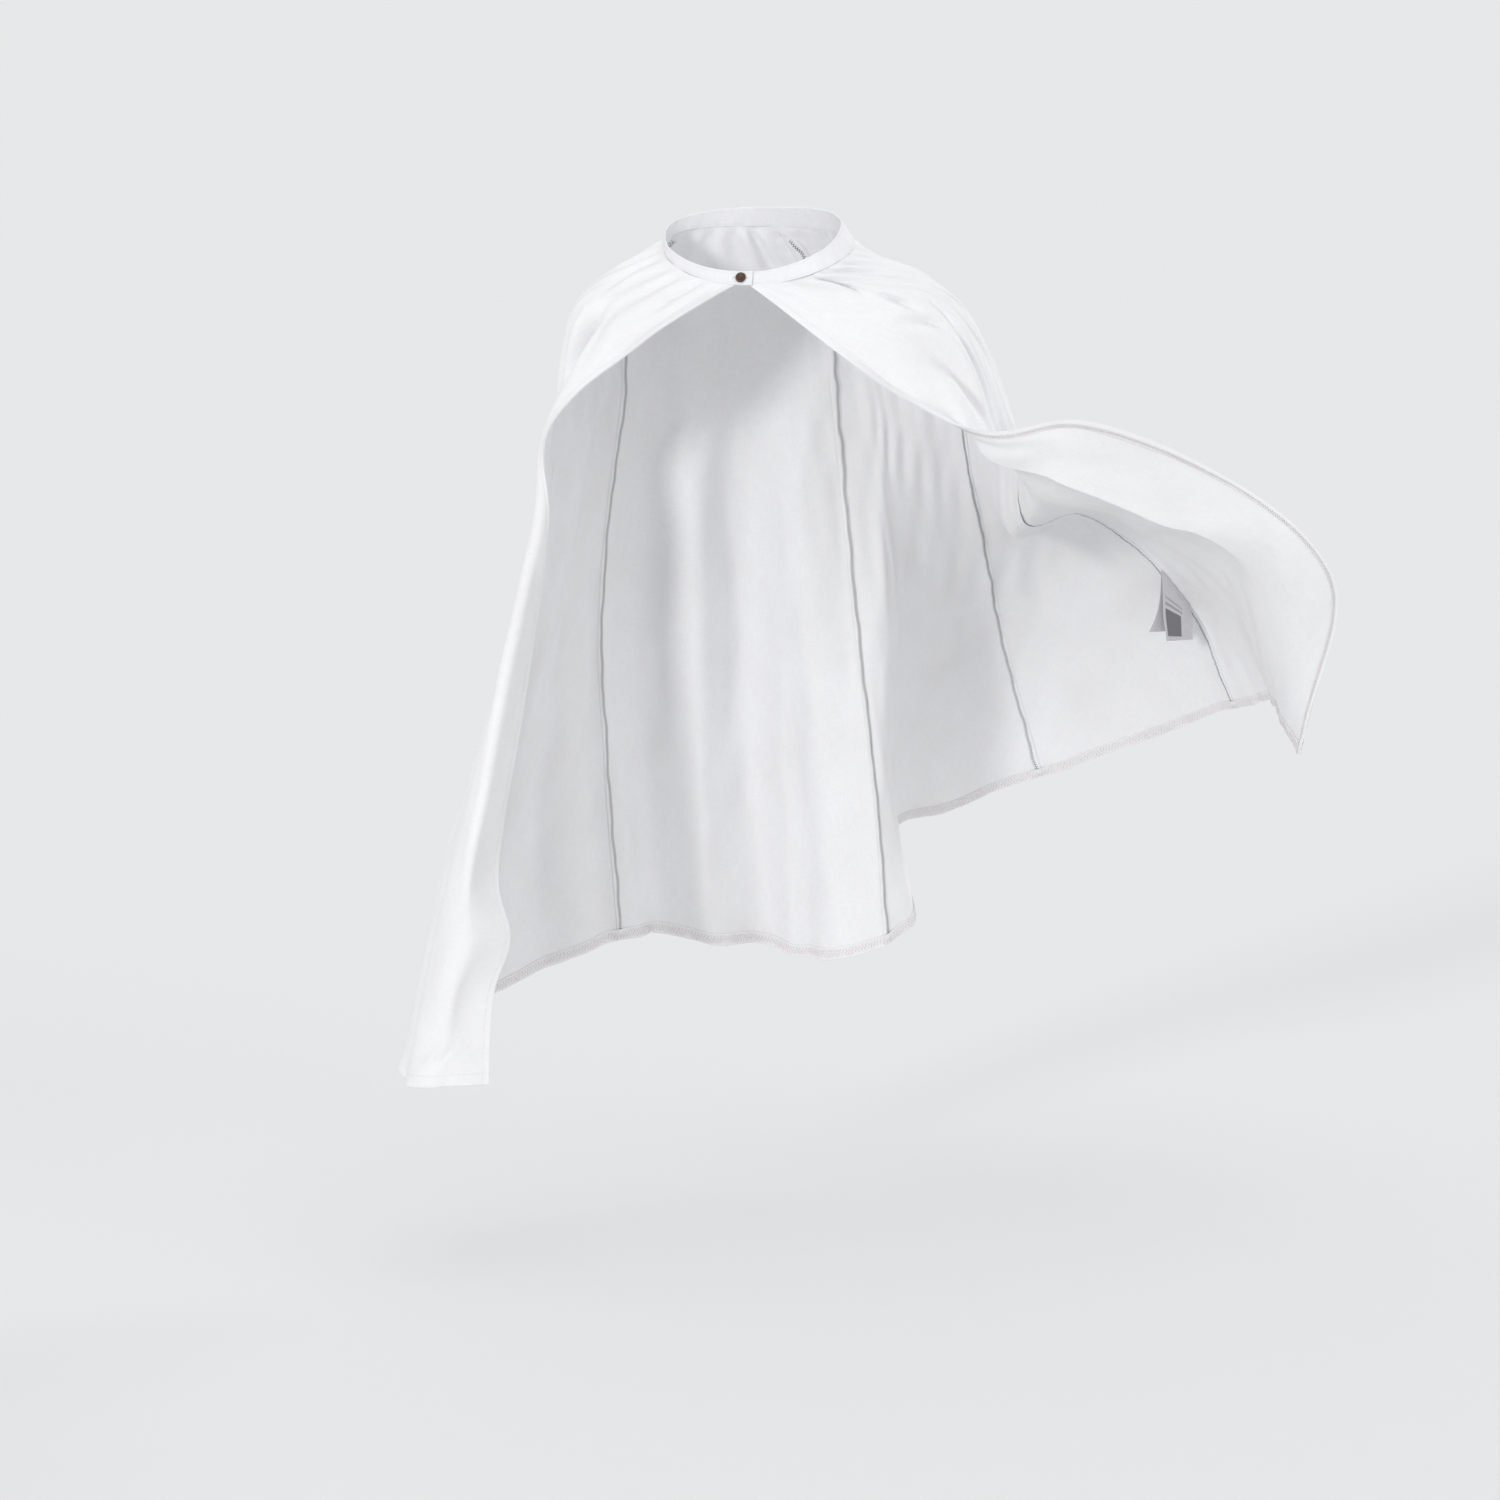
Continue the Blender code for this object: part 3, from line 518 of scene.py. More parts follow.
# noise per metre with its detail and roughness, for the tone and, on threads, for the fibres
threadLook = {
    "tone": ((240.0, 240.0, 240.0), 3.0, 0.6), "fibres": ((3000.0, 3000.0, 3000.0), 2.0, 0.5),
    "rough": (0.65, 0.85), "bump": 0.3, "depth": 0.0002,
}
woodLook = {
    "tone": ((260.0, 900.0, 1900.0), 4.0, 0.6), "rough": (0.32, 0.5), "bump": 0.25, "depth": 0.0002,
    "light": (0.105, 0.042, 0.024), "dark": (0.030, 0.012, 0.009),
}


def fibrousMaterial(name, light, dark, look):
    material, tree, shader = newMaterial(name)
    spot = addNode(tree, "ShaderNodeTexCoord").outputs["Object"]
    tone = rampNode(tree, noiseNode(tree, spot, *look["tone"]), 0.3, 0.7, 0.0, 1.0)
    relief = noiseNode(tree, spot, *look["fibres"]) if "fibres" in look else tone
    feed(tree, shader, {
        "Base Color": mixColour(tree, tone, light, dark),
        "Roughness": rampNode(tree, tone, 0.0, 1.0, *look["rough"]), "Normal": bumpNode(tree, relief, look),
    })
    return material


threads = {name: fibrousMaterial(name + "Thread", *tone, threadLook) for name, tone in threadTones.items()}
darkWood = fibrousMaterial("darkWood", woodLook["light"], woodLook["dark"], woodLook)
print("finishes made")


# meshes
def linkNew(name, data):
    made = bpy.data.objects.new(name, data)
    bpy.context.scene.collection.objects.link(made)
    return made


def finalMesh(made):  # a plain mesh of the object with its modifiers applied
    mesh = bpy.data.meshes.new_from_object(made.evaluated_get(bpy.context.evaluated_depsgraph_get()))
    made.modifiers.clear()
    return mesh


def makeObject(name, points, faces, flat, material):
    mesh = bpy.data.meshes.new(name)
    mesh.from_pydata(np.asarray(points).tolist(), [], faces)
    mesh.materials.append(material)
    mesh.shade_smooth()
    mesh.set_sharp_from_angle(angle=math.radians(cloth["sharpAngle"]))
    corner = np.empty(len(mesh.loops), np.int32)
    mesh.loops.foreach_get("vertex_index", corner)
    uv = mesh.uv_layers.new(name="UVMap")  # in metres on the cloth laid flat
    uv.data.foreach_set("uv", np.asarray(flat, np.float32)[corner].ravel())
    return linkNew(name, mesh)


def gridArea(points):
    cells = np.cross(np.diff(points, axis=1)[:-1], np.diff(points, axis=0)[:, :-1])
    return float(np.linalg.norm(cells, axis=2).sum())


def gridFaces(rows, columns):
    place = np.arange(rows * columns).reshape(rows, columns)
    corners = [place[:-1, :-1], place[:-1, 1:], place[1:, 1:], place[1:, :-1]]
    return np.stack([c.ravel() for c in corners], axis=1)


def gridRim(rows, columns):  # the grid's edge, in the order of its outer faces
    place = np.arange(rows * columns).reshape(rows, columns)
    return np.concatenate([place[0, :], place[1:, -1], place[-1, -2::-1], place[-2:0:-1, 0]])


def shell(name, outer, inner, flat, material):  # closed wall between two grids of points
    rows, columns = outer.shape[:2]
    count = rows * columns
    quads = gridFaces(rows, columns)
    rim = gridRim(rows, columns)
    after = np.roll(rim, -1)
    sides = np.stack([after, rim, rim + count, after + count], axis=1)
    faces = np.concatenate([quads, quads[:, ::-1] + count, sides])
    points = np.concatenate([outer.reshape(-1, 3), inner.reshape(-1, 3)])
    flat = flat.reshape(-1, 2)
    return makeObject(name, points, faces.tolist(), np.concatenate([flat, flat]), material)


def register(piece, slot, *nodes):
    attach(piece, "root")
    if nodes:
        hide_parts(*nodes)
    return piece


# seam allowances: both raw edges pressed to one side and overlocked together
allowance = {
    "width": 0.0095, "inset": 0.0004, "clear": 0.0001, "thickness": 0.0017, "start": 0.018,
    "rows": 240, "columns": 7,
    "under": 0.004,                         # how far it goes in under the hem
    "taper": 0.006, "taperLoss": 0.7,       # it thins out there
    "edgeShare": 0.35,                      # thickness left at its rounded edges
    "hemReach": 0.008, "hemClear": 0.0003,  # how the hem rises over it
    "wander": ((0.09, 61.0, 9.0), (0.07, 143.0, 31.0)),  # height, pace down, start by the seam's share
}
allowanceSides = {"rightSeam": 1.0, "pleatSeam": 1.0, "backSeam": -1.0, "leftSeam": -1.0}  # to the back


def hemLift(shares):  # the turned-up layer rises over the seam allowances under it
    rise = np.zeros_like(shares)
    for name, seam in zip(seamNames, seamShares):
        middle = seam + allowanceSides[name] * 0.5 * allowance["width"] / girths[-1]
        rise += np.exp(-((shares - middle) * girths[-1] / allowance["hemReach"]) ** 2)
    return rise * (allowance["thickness"] + allowance["hemClear"])


def hemClimb(share):  # how much of that rise it has, by the share of the hem's depth
    return min(1.0, cloth["hemRise"] * share)


def turnUp(points, normals, shares):  # rows past the hem: round its fold and up the inside
    rows = cloth["hemRows"]
    down = points[-1] - points[-2]
    down = unit(down - normals[-1] * (down * normals[-1]).sum(axis=-1, keepdims=True))
    radius = cloth["layer"] / 2.0
    newPoints, newNormals = [], []
    for angle in np.radians(cloth["foldAngles"]):
        inward = normals[-1] * radius * (1.0 - math.cos(angle))
        newPoints.append(points[-1] + down * radius * math.sin(angle) - inward)
        newNormals.append(normals[-1] * math.cos(angle) + down * math.sin(angle))
    for number in range(rows):
        share = number / (rows - 1.0)
        lift = cloth["layer"] + hemLift(shares) * hemClimb(share)
        newPoints.append(points[-1 - number] - normals[-1 - number] * lift[:, None])
        newNormals.append(-normals[-1 - number])
    return np.array(newPoints), np.array(newNormals)


def makeGore(gore):
    node, first, last = gore
    firstShare, lastShare = shareOf[first], shareOf[last]
    inGore = (cape["shares"] >= firstShare - 1e-6) & (cape["shares"] <= lastShare + 1e-6)
    shares, drops = cape["shares"][inGore], cape["drops"]
    points, normals = cape["points"][:, inGore].copy(), cape["normals"][:, inGore]
    roundWay = unit(np.gradient(points, axis=1))
    if first != "rightEdge":
        points[:, 0] += roundWay[:, 0] * cloth["seamGap"] / 2.0
    if last != "leftEdge":
        points[:, -1] -= roundWay[:, -1] * cloth["seamGap"] / 2.0
    turnedPoints, turnedNormals = turnUp(points, normals, shares)
    downLengths = np.concatenate([
        drops * cloth["length"],
        cloth["length"] + cloth["layer"] * np.array(cloth["foldSteps"]),
        cloth["length"] + cloth["foldLength"] + (1.0 - drops[::-1][:cloth["hemRows"]]) * cloth["length"],
    ])
    girth = girthAt(np.minimum(downLengths / cloth["length"], 1.0))
    across = (shares - 0.5 * (firstShare + lastShare))[None, :] * girth[:, None]
    flat = np.stack([across, np.broadcast_to(downLengths[:, None], across.shape)], axis=-1)
    points, normals = np.concatenate([points, turnedPoints]), np.concatenate([normals, turnedNormals])
    made = shell("gore_" + node, points + normals * halfCloth, points - normals * halfCloth, flat, canvas)
    register(made, "canvas", node)
    roundSteps = np.diff(points, axis=1)
    width = float(np.linalg.norm(roundSteps[len(drops) - 1], axis=1).sum())
    length = float(downLengths[-1])
    return {"piece": made, "width": width, "length": length, "area": gridArea(points), "with": []}


goreSheets = {gore[0]: makeGore(gore) for gore in gores}
for name, sheet in goreSheets.items():
    print("gore", name, "hem", round(sheet["width"], 3), "area", round(sheet["area"], 4))


def stripGrid(share, side, drops, look, wander):  # places of a strip beside a seam or an edge
    steps = np.linspace(0.0, 1.0, look["columns"])
    across = steps if side > 0.0 else steps[::-1]
    widths = look["inset"] + across[None, :] * look["width"] * wander[:, None]
    shareGrid = np.clip(share + side * widths / girthAt(drops)[:, None], 0.0, 1.0)
    return across, shareGrid, np.broadcast_to(drops[:, None], shareGrid.shape)


def strip(name, share, shareGrid, dropGrid, top, depth, mapStart):  # closed strip on the cloth's inside
    across = (shareGrid - share) * girthAt(dropGrid) + mapStart
    flat = np.stack([across, dropGrid * cloth["length"]], axis=-1)
    outer, inner = onCape(shareGrid, dropGrid, -top), onCape(shareGrid, dropGrid, -top - depth)
    return register(shell(name, outer, inner, flat, canvas), "canvas")


def allowanceWander(drops, share):  # cut by hand, so its width varies
    total = np.ones_like(drops)
    for height, pace, start in allowance["wander"]:
        total += height * np.sin(drops * pace + share * start)
    return total


def makeAllowance(seam, share):
    lastDrop = 1.0 - (cloth["hemDepth"] - allowance["under"]) / cloth["length"]
    drops = np.linspace(allowance["start"], lastDrop, allowance["rows"])
    wander = allowanceWander(drops, share)
    across, shareGrid, dropGrid = stripGrid(share, allowanceSides[seam], drops, allowance, wander)
    crown = np.sqrt(np.clip(1.0 - (2.0 * across - 1.0) ** 8, 0.0, 1.0))
    crown = allowance["edgeShare"] + (1.0 - allowance["edgeShare"]) * crown
    taper = 1.0 - allowance["taperLoss"] * ramp(drops, lastDrop - allowance["taper"], lastDrop)
    depth = allowance["thickness"] * crown[None, :] * taper[:, None]
    top = np.full(shareGrid.shape, halfCloth + allowance["clear"])
    return strip("seamAllowance_" + seam, share, shareGrid, dropGrid, top, depth, 0.0)


allowances = {seam: makeAllowance(seam, share) for seam, share in zip(seamNames, seamShares)}
print("seam allowances made")

# front hems: one narrow turning along each front edge
frontHem = {
    "width": 0.012, "inset": 0.0, "thickness": 0.0012, "clear": 0.0002, "start": 0.012, "closeFrom": 0.97,
    "rows": 230, "closeRows": 12, "columns": 8, "wander": 0.06, "mapStart": 0.2,
}
frontEdges = {"right": (0.0, 1.0), "left": (1.0, -1.0)}  # share round, and the way inward


def overHem(drops):  # how far a front hem has climbed on to the turned-up bottom hem
    hemShare = cloth["hemDepth"] / cloth["length"]
    return ramp(drops, 1.0 - 1.5 * hemShare, 1.0 - hemShare)


def makeFrontHem(name, edge, side):
    drops = np.concatenate([
        np.linspace(frontHem["start"], frontHem["closeFrom"], frontHem["rows"]),
        np.linspace(frontHem["closeFrom"], 1.0, frontHem["closeRows"])[1:],
    ])
    wander = 1.0 + frontHem["wander"] * np.sin(drops * 47.0 + edge * 5.0)
    _, shareGrid, dropGrid = stripGrid(edge, side, drops, frontHem, wander)
    top = halfCloth + frontHem["clear"] + overHem(drops) * cloth["layer"]
    top = np.broadcast_to(top[:, None], shareGrid.shape)
    thick, mapStart = frontHem["thickness"], frontHem["mapStart"]
    return strip("frontHem_" + name, edge, shareGrid, dropGrid, top, thick, mapStart)


frontHems = {name: makeFrontHem(name, *edge) for name, edge in frontEdges.items()}
print("front hems made")


# stitches: one tree lays short threads along a path, straight or slanted left and right in turn
stitchSizes = ("Pitch", "Length", "Width", "Height", "Slant", "Uneven", "Seed")
stitchLooks = {  # in the order of stitchSizes
    "plain": (0.0034, 0.0029, 0.00075, 0.0006, 0.0, 0.08, 3),
    "seamOverlock": (0.0021, 0.0074, 0.0009, 0.0008, 1.15, 0.10, 4),
    "hemOverlock": (0.0027, 0.0150, 0.0010, 0.0008, 1.05, 0.14, 5),
    "edgeOverlock": (0.0024, 0.0066, 0.0009, 0.0008, 1.10, 0.12, 6),
    "buttonhole": (0.0006, 0.0017, 0.0005, 0.0004, 1.4, 0.06, 8),
}
threadLift = 0.0001  # threads lie this far above the cloth


def makeStitchTree():
    tree = bpy.data.node_groups.new("stitchRow", "GeometryNodeTree")
    kinds = {"Path": "Geometry", **dict.fromkeys(stitchSizes, "Float"), "Seed": "Int", "Thread": "Material"}
    for name, kind in kinds.items():
        tree.interface.new_socket(name, in_out="INPUT", socket_type="NodeSocket" + kind)
    tree.interface.new_socket("Stitches", in_out="OUTPUT", socket_type="NodeSocketGeometry")
    given = addNode(tree, "NodeGroupInput").outputs
    path = addNode(tree, "GeometryNodeMeshToCurve", {"Mesh": given["Path"]}).outputs["Curve"]
    spacing = {"Curve": path, "Length": given["Pitch"]}
    spaced = addNode(tree, "GeometryNodeResampleCurve", spacing, mode="LENGTH").outputs["Curve"]
    out = addNode(tree, "GeometryNodeInputNamedAttribute", {"Name": "faceOut"}, data_type="FLOAT_VECTOR")
    align = "FunctionNodeAlignRotationToVector"
    stand = addNode(tree, align, {"Vector": out.outputs["Attribute"]}, axis="Z").outputs["Rotation"]
    tangent = addNode(tree, "GeometryNodeInputTangent").outputs["Tangent"]
    along = addNode(tree, align, {"Rotation": stand, "Vector": tangent}, axis="X", pivot_axis="Z")
    index = addNode(tree, "GeometryNodeInputIndex").outputs[0]
    turn = mathNode(tree, "MULTIPLY_ADD", mathNode(tree, "MODULO", index, 2.0), 2.0, -1.0)
    slant = addNode(tree, "ShaderNodeCombineXYZ", {"Z": mathNode(tree, "MULTIPLY", turn, given["Slant"])})
    slant = addNode(tree, "FunctionNodeEulerToRotation", {"Euler": slant.outputs[0]}).outputs["Rotation"]
    turning = {"Rotation": along.outputs["Rotation"], "Rotate By": slant}
    turned = addNode(tree, "FunctionNodeRotateRotation", turning, rotation_space="LOCAL")
    size = {"X": given["Length"], "Y": given["Width"], "Z": given["Height"]}
    size = addNode(tree, "ShaderNodeCombineXYZ", size).outputs[0]
    vary = addNode(tree, "FunctionNodeRandomValue", {"Seed": given["Seed"]}, data_type="FLOAT")
    low, high = [s for s in vary.inputs if s.enabled][:2]
    tree.links.new(mathNode(tree, "SUBTRACT", 1.0, given["Uneven"]), low)
    tree.links.new(mathNode(tree, "ADD", 1.0, given["Uneven"]), high)
    scale = {0: size, "Scale": [s for s in vary.outputs if s.enabled][0]}
    scaled = addNode(tree, "ShaderNodeVectorMath", scale, operation="SCALE").outputs[0]
    bead = addNode(tree, "GeometryNodeMeshUVSphere", {"Segments": 6, "Rings": 4, "Radius": 0.5})
    laying = {"Points": spaced, "Instance": bead.outputs["Mesh"], "Scale": scaled}
    laying["Rotation"] = turned.outputs["Rotation"]
    laid = addNode(tree, "GeometryNodeInstanceOnPoints", laying).outputs["Instances"]
    for kind in ("GeometryNodeRealizeInstances", "GeometryNodeSetShadeSmooth"):
        laid = addNode(tree, kind, {"Geometry": laid}).outputs["Geometry"]
    painted = addNode(tree, "GeometryNodeSetMaterial", {"Geometry": laid, "Material": given["Thread"]})
    addNode(tree, "NodeGroupOutput", {"Stitches": painted.outputs["Geometry"]})
    return tree


stitchTree = makeStitchTree()


def sew(name, lines, look, thread, slot):  # lines: pairs of points and outward vectors
    points = np.concatenate([line[0] for line in lines])
    outs = np.concatenate([line[1] for line in lines])
    edges, start = [], 0
    for line in lines:
        edges += [(start + i, start + i + 1) for i in range(len(line[0]) - 1)]
        start += len(line[0])
    mesh = bpy.data.meshes.new(name)
    mesh.from_pydata(points.tolist(), edges, [])
    faceOut = mesh.attributes.new("faceOut", "FLOAT_VECTOR", "POINT")
    faceOut.data.foreach_set("vector", outs.astype(np.float32).ravel())
    made = linkNew(name, mesh)
    modifier = made.modifiers.new("stitches", "NODES")
    modifier.node_group = stitchTree
    settings = dict(zip(stitchSizes, stitchLooks[look]), Thread=threads[thread])
    for item in stitchTree.interface.items_tree:
        if item.in_out == "INPUT" and item.name in settings:
            modifier[item.identifier] = settings[item.name]
    made.data = finalMesh(made)
    made.data.name = name
    return register(made, slot)


def capeLine(shares, drops, under=None):  # a row of stitches outside, or inside over what lies under it
    points, normals = capeAt(shares, drops)
    if under is None:
        return points + normals * (halfCloth + threadLift), normals
    lift = np.broadcast_to(halfCloth + under + threadLift, points.shape[:-1])
    return points - normals * lift[:, None], -normals


# where the rows run: in from the ends, up from the hem's fold, in from a raw or front edge
sewing = {
    "seamStart": 0.002, "seamEnd": 0.001, "seamInset": 0.0030, "seamSteps": 600,
    "hemEnds": 0.0004, "hemSteps": 2200, "hemStitches": 0.0155, "hemOverlock": 0.0095,
    "edgeStart": 0.001, "edgeEnd": 0.9995, "edgeSteps": 700,
    "edgeOutside": 0.0075, "edgeInside": 0.0060, "edgeOverlock": 0.0090,
}


def sewSeam(seam, share):
    first = allowance["start"] + sewing["seamStart"]
    last = 1.0 - (cloth["hemDepth"] + sewing["seamEnd"]) / cloth["length"]
    drops = np.linspace(first, last, sewing["seamSteps"])
    inward = allowance["width"] * allowanceWander(drops, share) - sewing["seamInset"]
    shares = share + allowanceSides[seam] * inward / girthAt(drops)
    row = capeLine(shares, drops, allowance["clear"] + allowance["thickness"])
    return sew("overlock_" + seam, [row], "seamOverlock", "grey", "canvas")


overlocks = {seam: sewSeam(seam, share) for seam, share in zip(seamNames, seamShares)}
print("seams overlocked")


def hemLine(up, inside):  # a line along the whole hem, up from its fold by a distance
    shares = np.linspace(sewing["hemEnds"], 1.0 - sewing["hemEnds"], sewing["hemSteps"])
    under = cloth["layer"] + hemLift(shares) * hemClimb(up / cloth["hemDepth"])
    return capeLine(shares, 1.0 - up / cloth["length"], under if inside else None)


def edgeLine(edge, side, inward, inside):  # a line along a front edge
    drops = np.linspace(frontHem["start"] + sewing["edgeStart"], sewing["edgeEnd"], sewing["edgeSteps"])
    under = frontHem["clear"] + overHem(drops) * cloth["layer"] + frontHem["thickness"]
    return capeLine(edge + side * inward / girthAt(drops), drops, under if inside else None)


hemRows = [hemLine(sewing["hemStitches"], inside) for inside in (False, True)]
hemStitches = sew("hemStitches", hemRows, "plain", "white", "canvas")
hemEdge = sew("overlock_hem", [hemLine(sewing["hemOverlock"], True)], "hemOverlock", "pale", "canvas")
edgeStitches, edgeThreads = {}, {}
for name, (edge, side) in frontEdges.items():
    rows = [edgeLine(edge, side, sewing["edgeOutside"], False)]
    rows.append(edgeLine(edge, side, sewing["edgeInside"], True))
    edgeStitches[name] = sew("frontStitches_" + name, rows, "plain", "white", "canvas")
    rows = [edgeLine(edge, side, sewing["edgeOverlock"], True)]
    edgeThreads[name] = sew("overlock_front_" + name, rows, "edgeOverlock", "rose", "canvas")
print("hems stitched")

# collar
collar = {
    "thickness": 0.0024, "height": 0.026, "sideSwing": 0.008, "backSwing": 0.005,
    "lean": 0.35, "leanSwing": 0.28, "overlap": 0.10, "foot": 0.0004,
    "tuck": 0.0030, "tuckFrom": 0.55, "tuckFull": 0.20,  # the left end goes in under the right one
    "columns": 320, "faceRows": 10, "topRows": 6,
    "calmRight": (0.15, 0.6), "calmLeft": (0.8, 0.3),    # angles beside each end where the waves die out
    "waves": ((1.0, 7.0, 1.0), (0.6, 13.0, 0.0), (0.4, 29.0, 2.0)),  # share, count round, start
    "wave": 0.0007, "pucker": 0.0005,
    "topStitch": 0.0035, "footStitch": 0.003, "stitchEnd": 0.015, "stitchSteps": 900,
}


def collarFrame(angle):  # foot, up vector, outward vector and height at each angle
    foot = neckPoint(angle)
    step = 1e-3
    along = unit(neckPoint(angle + step) - neckPoint(angle - step))
    upright = np.tile([0.0, 0.0, 1.0], (len(angle), 1))
    levelOut = unit(np.cross(along, -upright))
    lean = collar["lean"] - collar["leanSwing"] * np.sin(angle)
    up = upright * np.cos(lean)[:, None] - levelOut * np.sin(lean)[:, None]
    out = upright * np.sin(lean)[:, None] + levelOut * np.cos(lean)[:, None]
    swing = collar["sideSwing"] * np.sin(angle) + collar["backSwing"] * np.cos(angle)
    tucked = ramp(angle, fullTurn - collar["tuckFrom"], fullTurn - collar["tuckFull"])
    return foot - out * (collar["tuck"] * tucked)[:, None], up, out, collar["height"] - swing


def collarWave(angle, share):  # soft unevenness of the band, still at its ends
    fromLeft = fullTurn - np.array(collar["calmLeft"])
    calm = ramp(angle, *collar["calmRight"]) * (1.0 - ramp(angle, *fromLeft))
    wave = sum(part * np.sin(count * angle + start) for part, count, start in collar["waves"])
    pucker = -np.cos(gathers["count"] * angle) * (1.0 - share) ** 2
    return calm * (collar["wave"] * wave * share + collar["pucker"] * pucker)


def makeCollar():
    angles = np.linspace(-collar["overlap"], fullTurn + collar["overlap"], collar["columns"] + 1)
    foot, up, out, height = collarFrame(angles)
    half = collar["thickness"] / 2.0
    low = -collar["foot"]
    section = [(share, 1.0, 0.0) for share in np.linspace(0.0, 1.0, collar["faceRows"])]
    for turn in np.linspace(0.0, math.pi, collar["topRows"] + 2)[1:-1]:
        section.append((1.0, math.cos(turn), math.sin(turn)))
    section += [(share, -1.0, 0.0) for share in np.linspace(1.0, 0.0, collar["faceRows"])]
    loops = []
    for share, aside, over in section:
        rise = low + share * (height - half - low) + half * over
        offset = half * aside + collarWave(angles, share)
        loops.append(foot + up * rise[:, None] + out * offset[:, None])
    loops = np.array(loops)
    count, columns = loops.shape[:2]
    numbers = np.arange(count * columns).reshape(count, columns)
    nextRow = np.roll(numbers, -1, axis=0)
    corners = [numbers[:, :-1], nextRow[:, :-1], nextRow[:, 1:], numbers[:, 1:]]
    quads = np.stack([c.ravel() for c in corners], axis=1)
    faces = quads.tolist() + [numbers[::-1, 0].tolist(), numbers[:, -1].tolist()]
    along = np.concatenate([[0.0], np.cumsum(np.linalg.norm(np.diff(foot, axis=0), axis=1))])
    across = np.concatenate([[0.0], np.cumsum(np.linalg.norm(np.diff(loops, axis=0), axis=2).mean(axis=1))])
    flat = np.stack(np.broadcast_arrays(along[None, :], across[:, None]), axis=-1).reshape(-1, 2)
    made = makeObject("collarBand", loops.reshape(-1, 3), faces, flat, shadedCollarCanvas)
    register(made, "collar_canvas", "collar")
    return made, float(along[-1]), float(across[-1])


collarBand, collarLength, collarRound = makeCollar()


def collarLine(angles, share, rise, side):  # a row so far above or below a share of the collar's height
    foot, up, out, height = collarFrame(angles)
    climb = height * share + rise
    lift = side * (collar["thickness"] / 2.0 + threadLift) + collarWave(angles, climb / height)
    return foot + up * climb[:, None] + out * lift[:, None], out * side


stitchPast = collar["overlap"] - collar["stitchEnd"]
stitchAngles = np.linspace(-stitchPast, fullTurn + stitchPast, collar["stitchSteps"])
collarRows = []
for share, rise in ((1.0, -collar["topStitch"]), (0.0, collar["footStitch"])):
    collarRows += [collarLine(stitchAngles, share, rise, side) for side in (1.0, -1.0)]
collarStitches = sew("collarStitches", collarRows, "plain", "white", "collar_canvas")
print("collar made", round(collarLength, 3))

# button: turned, with a rim and four holes, sewn on through the collar
button = {
    "radius": 0.0077, "rim": 0.0032, "dish": 0.0019, "angle": 0.02, "height": 0.50, "sides": 64,
    "holeRadius": 0.0009, "holeOut": 0.0019, "holeSides": 16, "drillTop": 0.005, "drillFoot": -0.001,
    "seat": 0.0003, "sharpAngle": 40.0, "threadRadius": 0.00045, "threadApart": 0.00035, "threadRise": 0.0006,
}
rimProfile = [  # from the dish over the rim to the back, as shares of the radius and of the rim's height
    (0.66, 0.93), (0.74, 0.99), (0.82, 1.0), (0.90, 0.93), (0.96, 0.78), (1.0, 0.48), (0.97, 0.18),
    (0.90, 0.0), (0.45, 0.0), (0.0, 0.0),
]


def buttonPlace():
    foot, up, out, height = collarFrame(np.array([button["angle"]]))
    out, up = out[0], up[0]
    seat = foot[0] + up * height[0] * button["height"] + out * (collar["thickness"] / 2.0 + button["seat"])
    return Matrix.Translation(Vector(seat)) @ Matrix((np.cross(up, out), up, out)).transposed().to_4x4()


def lathe(profile, sides):  # closed turned solid, from the axis and back to it
    points, faces = [(0.0, 0.0, profile[0][1])], []
    rings = []
    for radius, height in profile[1:-1]:
        rings.append(len(points))
        for i in range(sides):
            turn = fullTurn * i / sides
            points.append((radius * math.cos(turn), radius * math.sin(turn), height))
    points.append((0.0, 0.0, profile[-1][1]))
    for i in range(sides):
        j = (i + 1) % sides
        faces.append((0, rings[0] + i, rings[0] + j))
        for upper, lower in zip(rings[:-1], rings[1:]):
            faces.append((upper + i, lower + i, lower + j, upper + j))
        faces.append((rings[-1] + i, len(points) - 1, rings[-1] + j))
    mesh = bpy.data.meshes.new("turned")
    mesh.from_pydata(points, [], faces)
    return linkNew("turned", mesh)


def onCollar(mesh, material):  # turned to face out where the button sits
    mesh.transform(buttonPlace())
    mesh.materials.clear()
    mesh.materials.append(material)
    mesh.shade_smooth()
    return mesh


def makeButton():
    radius, rim, dish = button["radius"], button["rim"], button["dish"]
    profile = [(0.0, dish), (radius * 0.30, dish), (radius * 0.52, dish * 1.02)]  # the dish
    profile.append((radius * 0.60, dish + 0.35 * (rim - dish)))
    profile += [(radius * across, rim * high) for across, high in rimProfile]
    made = lathe(profile, button["sides"])
    hole, above, below = button["holeRadius"], button["drillTop"], button["drillFoot"]
    drills = []
    for i in range(4):
        turn = math.pi / 4.0 + math.pi / 2.0 * i
        drill = lathe([(0.0, above), (hole, above), (hole, below), (0.0, below)], button["holeSides"])
        centre = Vector((math.cos(turn), math.sin(turn), 0.0)) * button["holeOut"]
        drill.data.transform(Matrix.Translation(centre))
        cut = made.modifiers.new("hole", "BOOLEAN")
        cut.operation = "DIFFERENCE"
        cut.solver = "EXACT"
        cut.object = drill
        drills.append(drill)
    made.data = onCollar(finalMesh(made), darkWood)
    made.data.set_sharp_from_angle(angle=math.radians(button["sharpAngle"]))
    made.name = made.data.name = "woodButton"
    for drill in drills:
        bpy.data.objects.remove(drill, do_unlink=True)
    register(made, "dark_wood", "button")


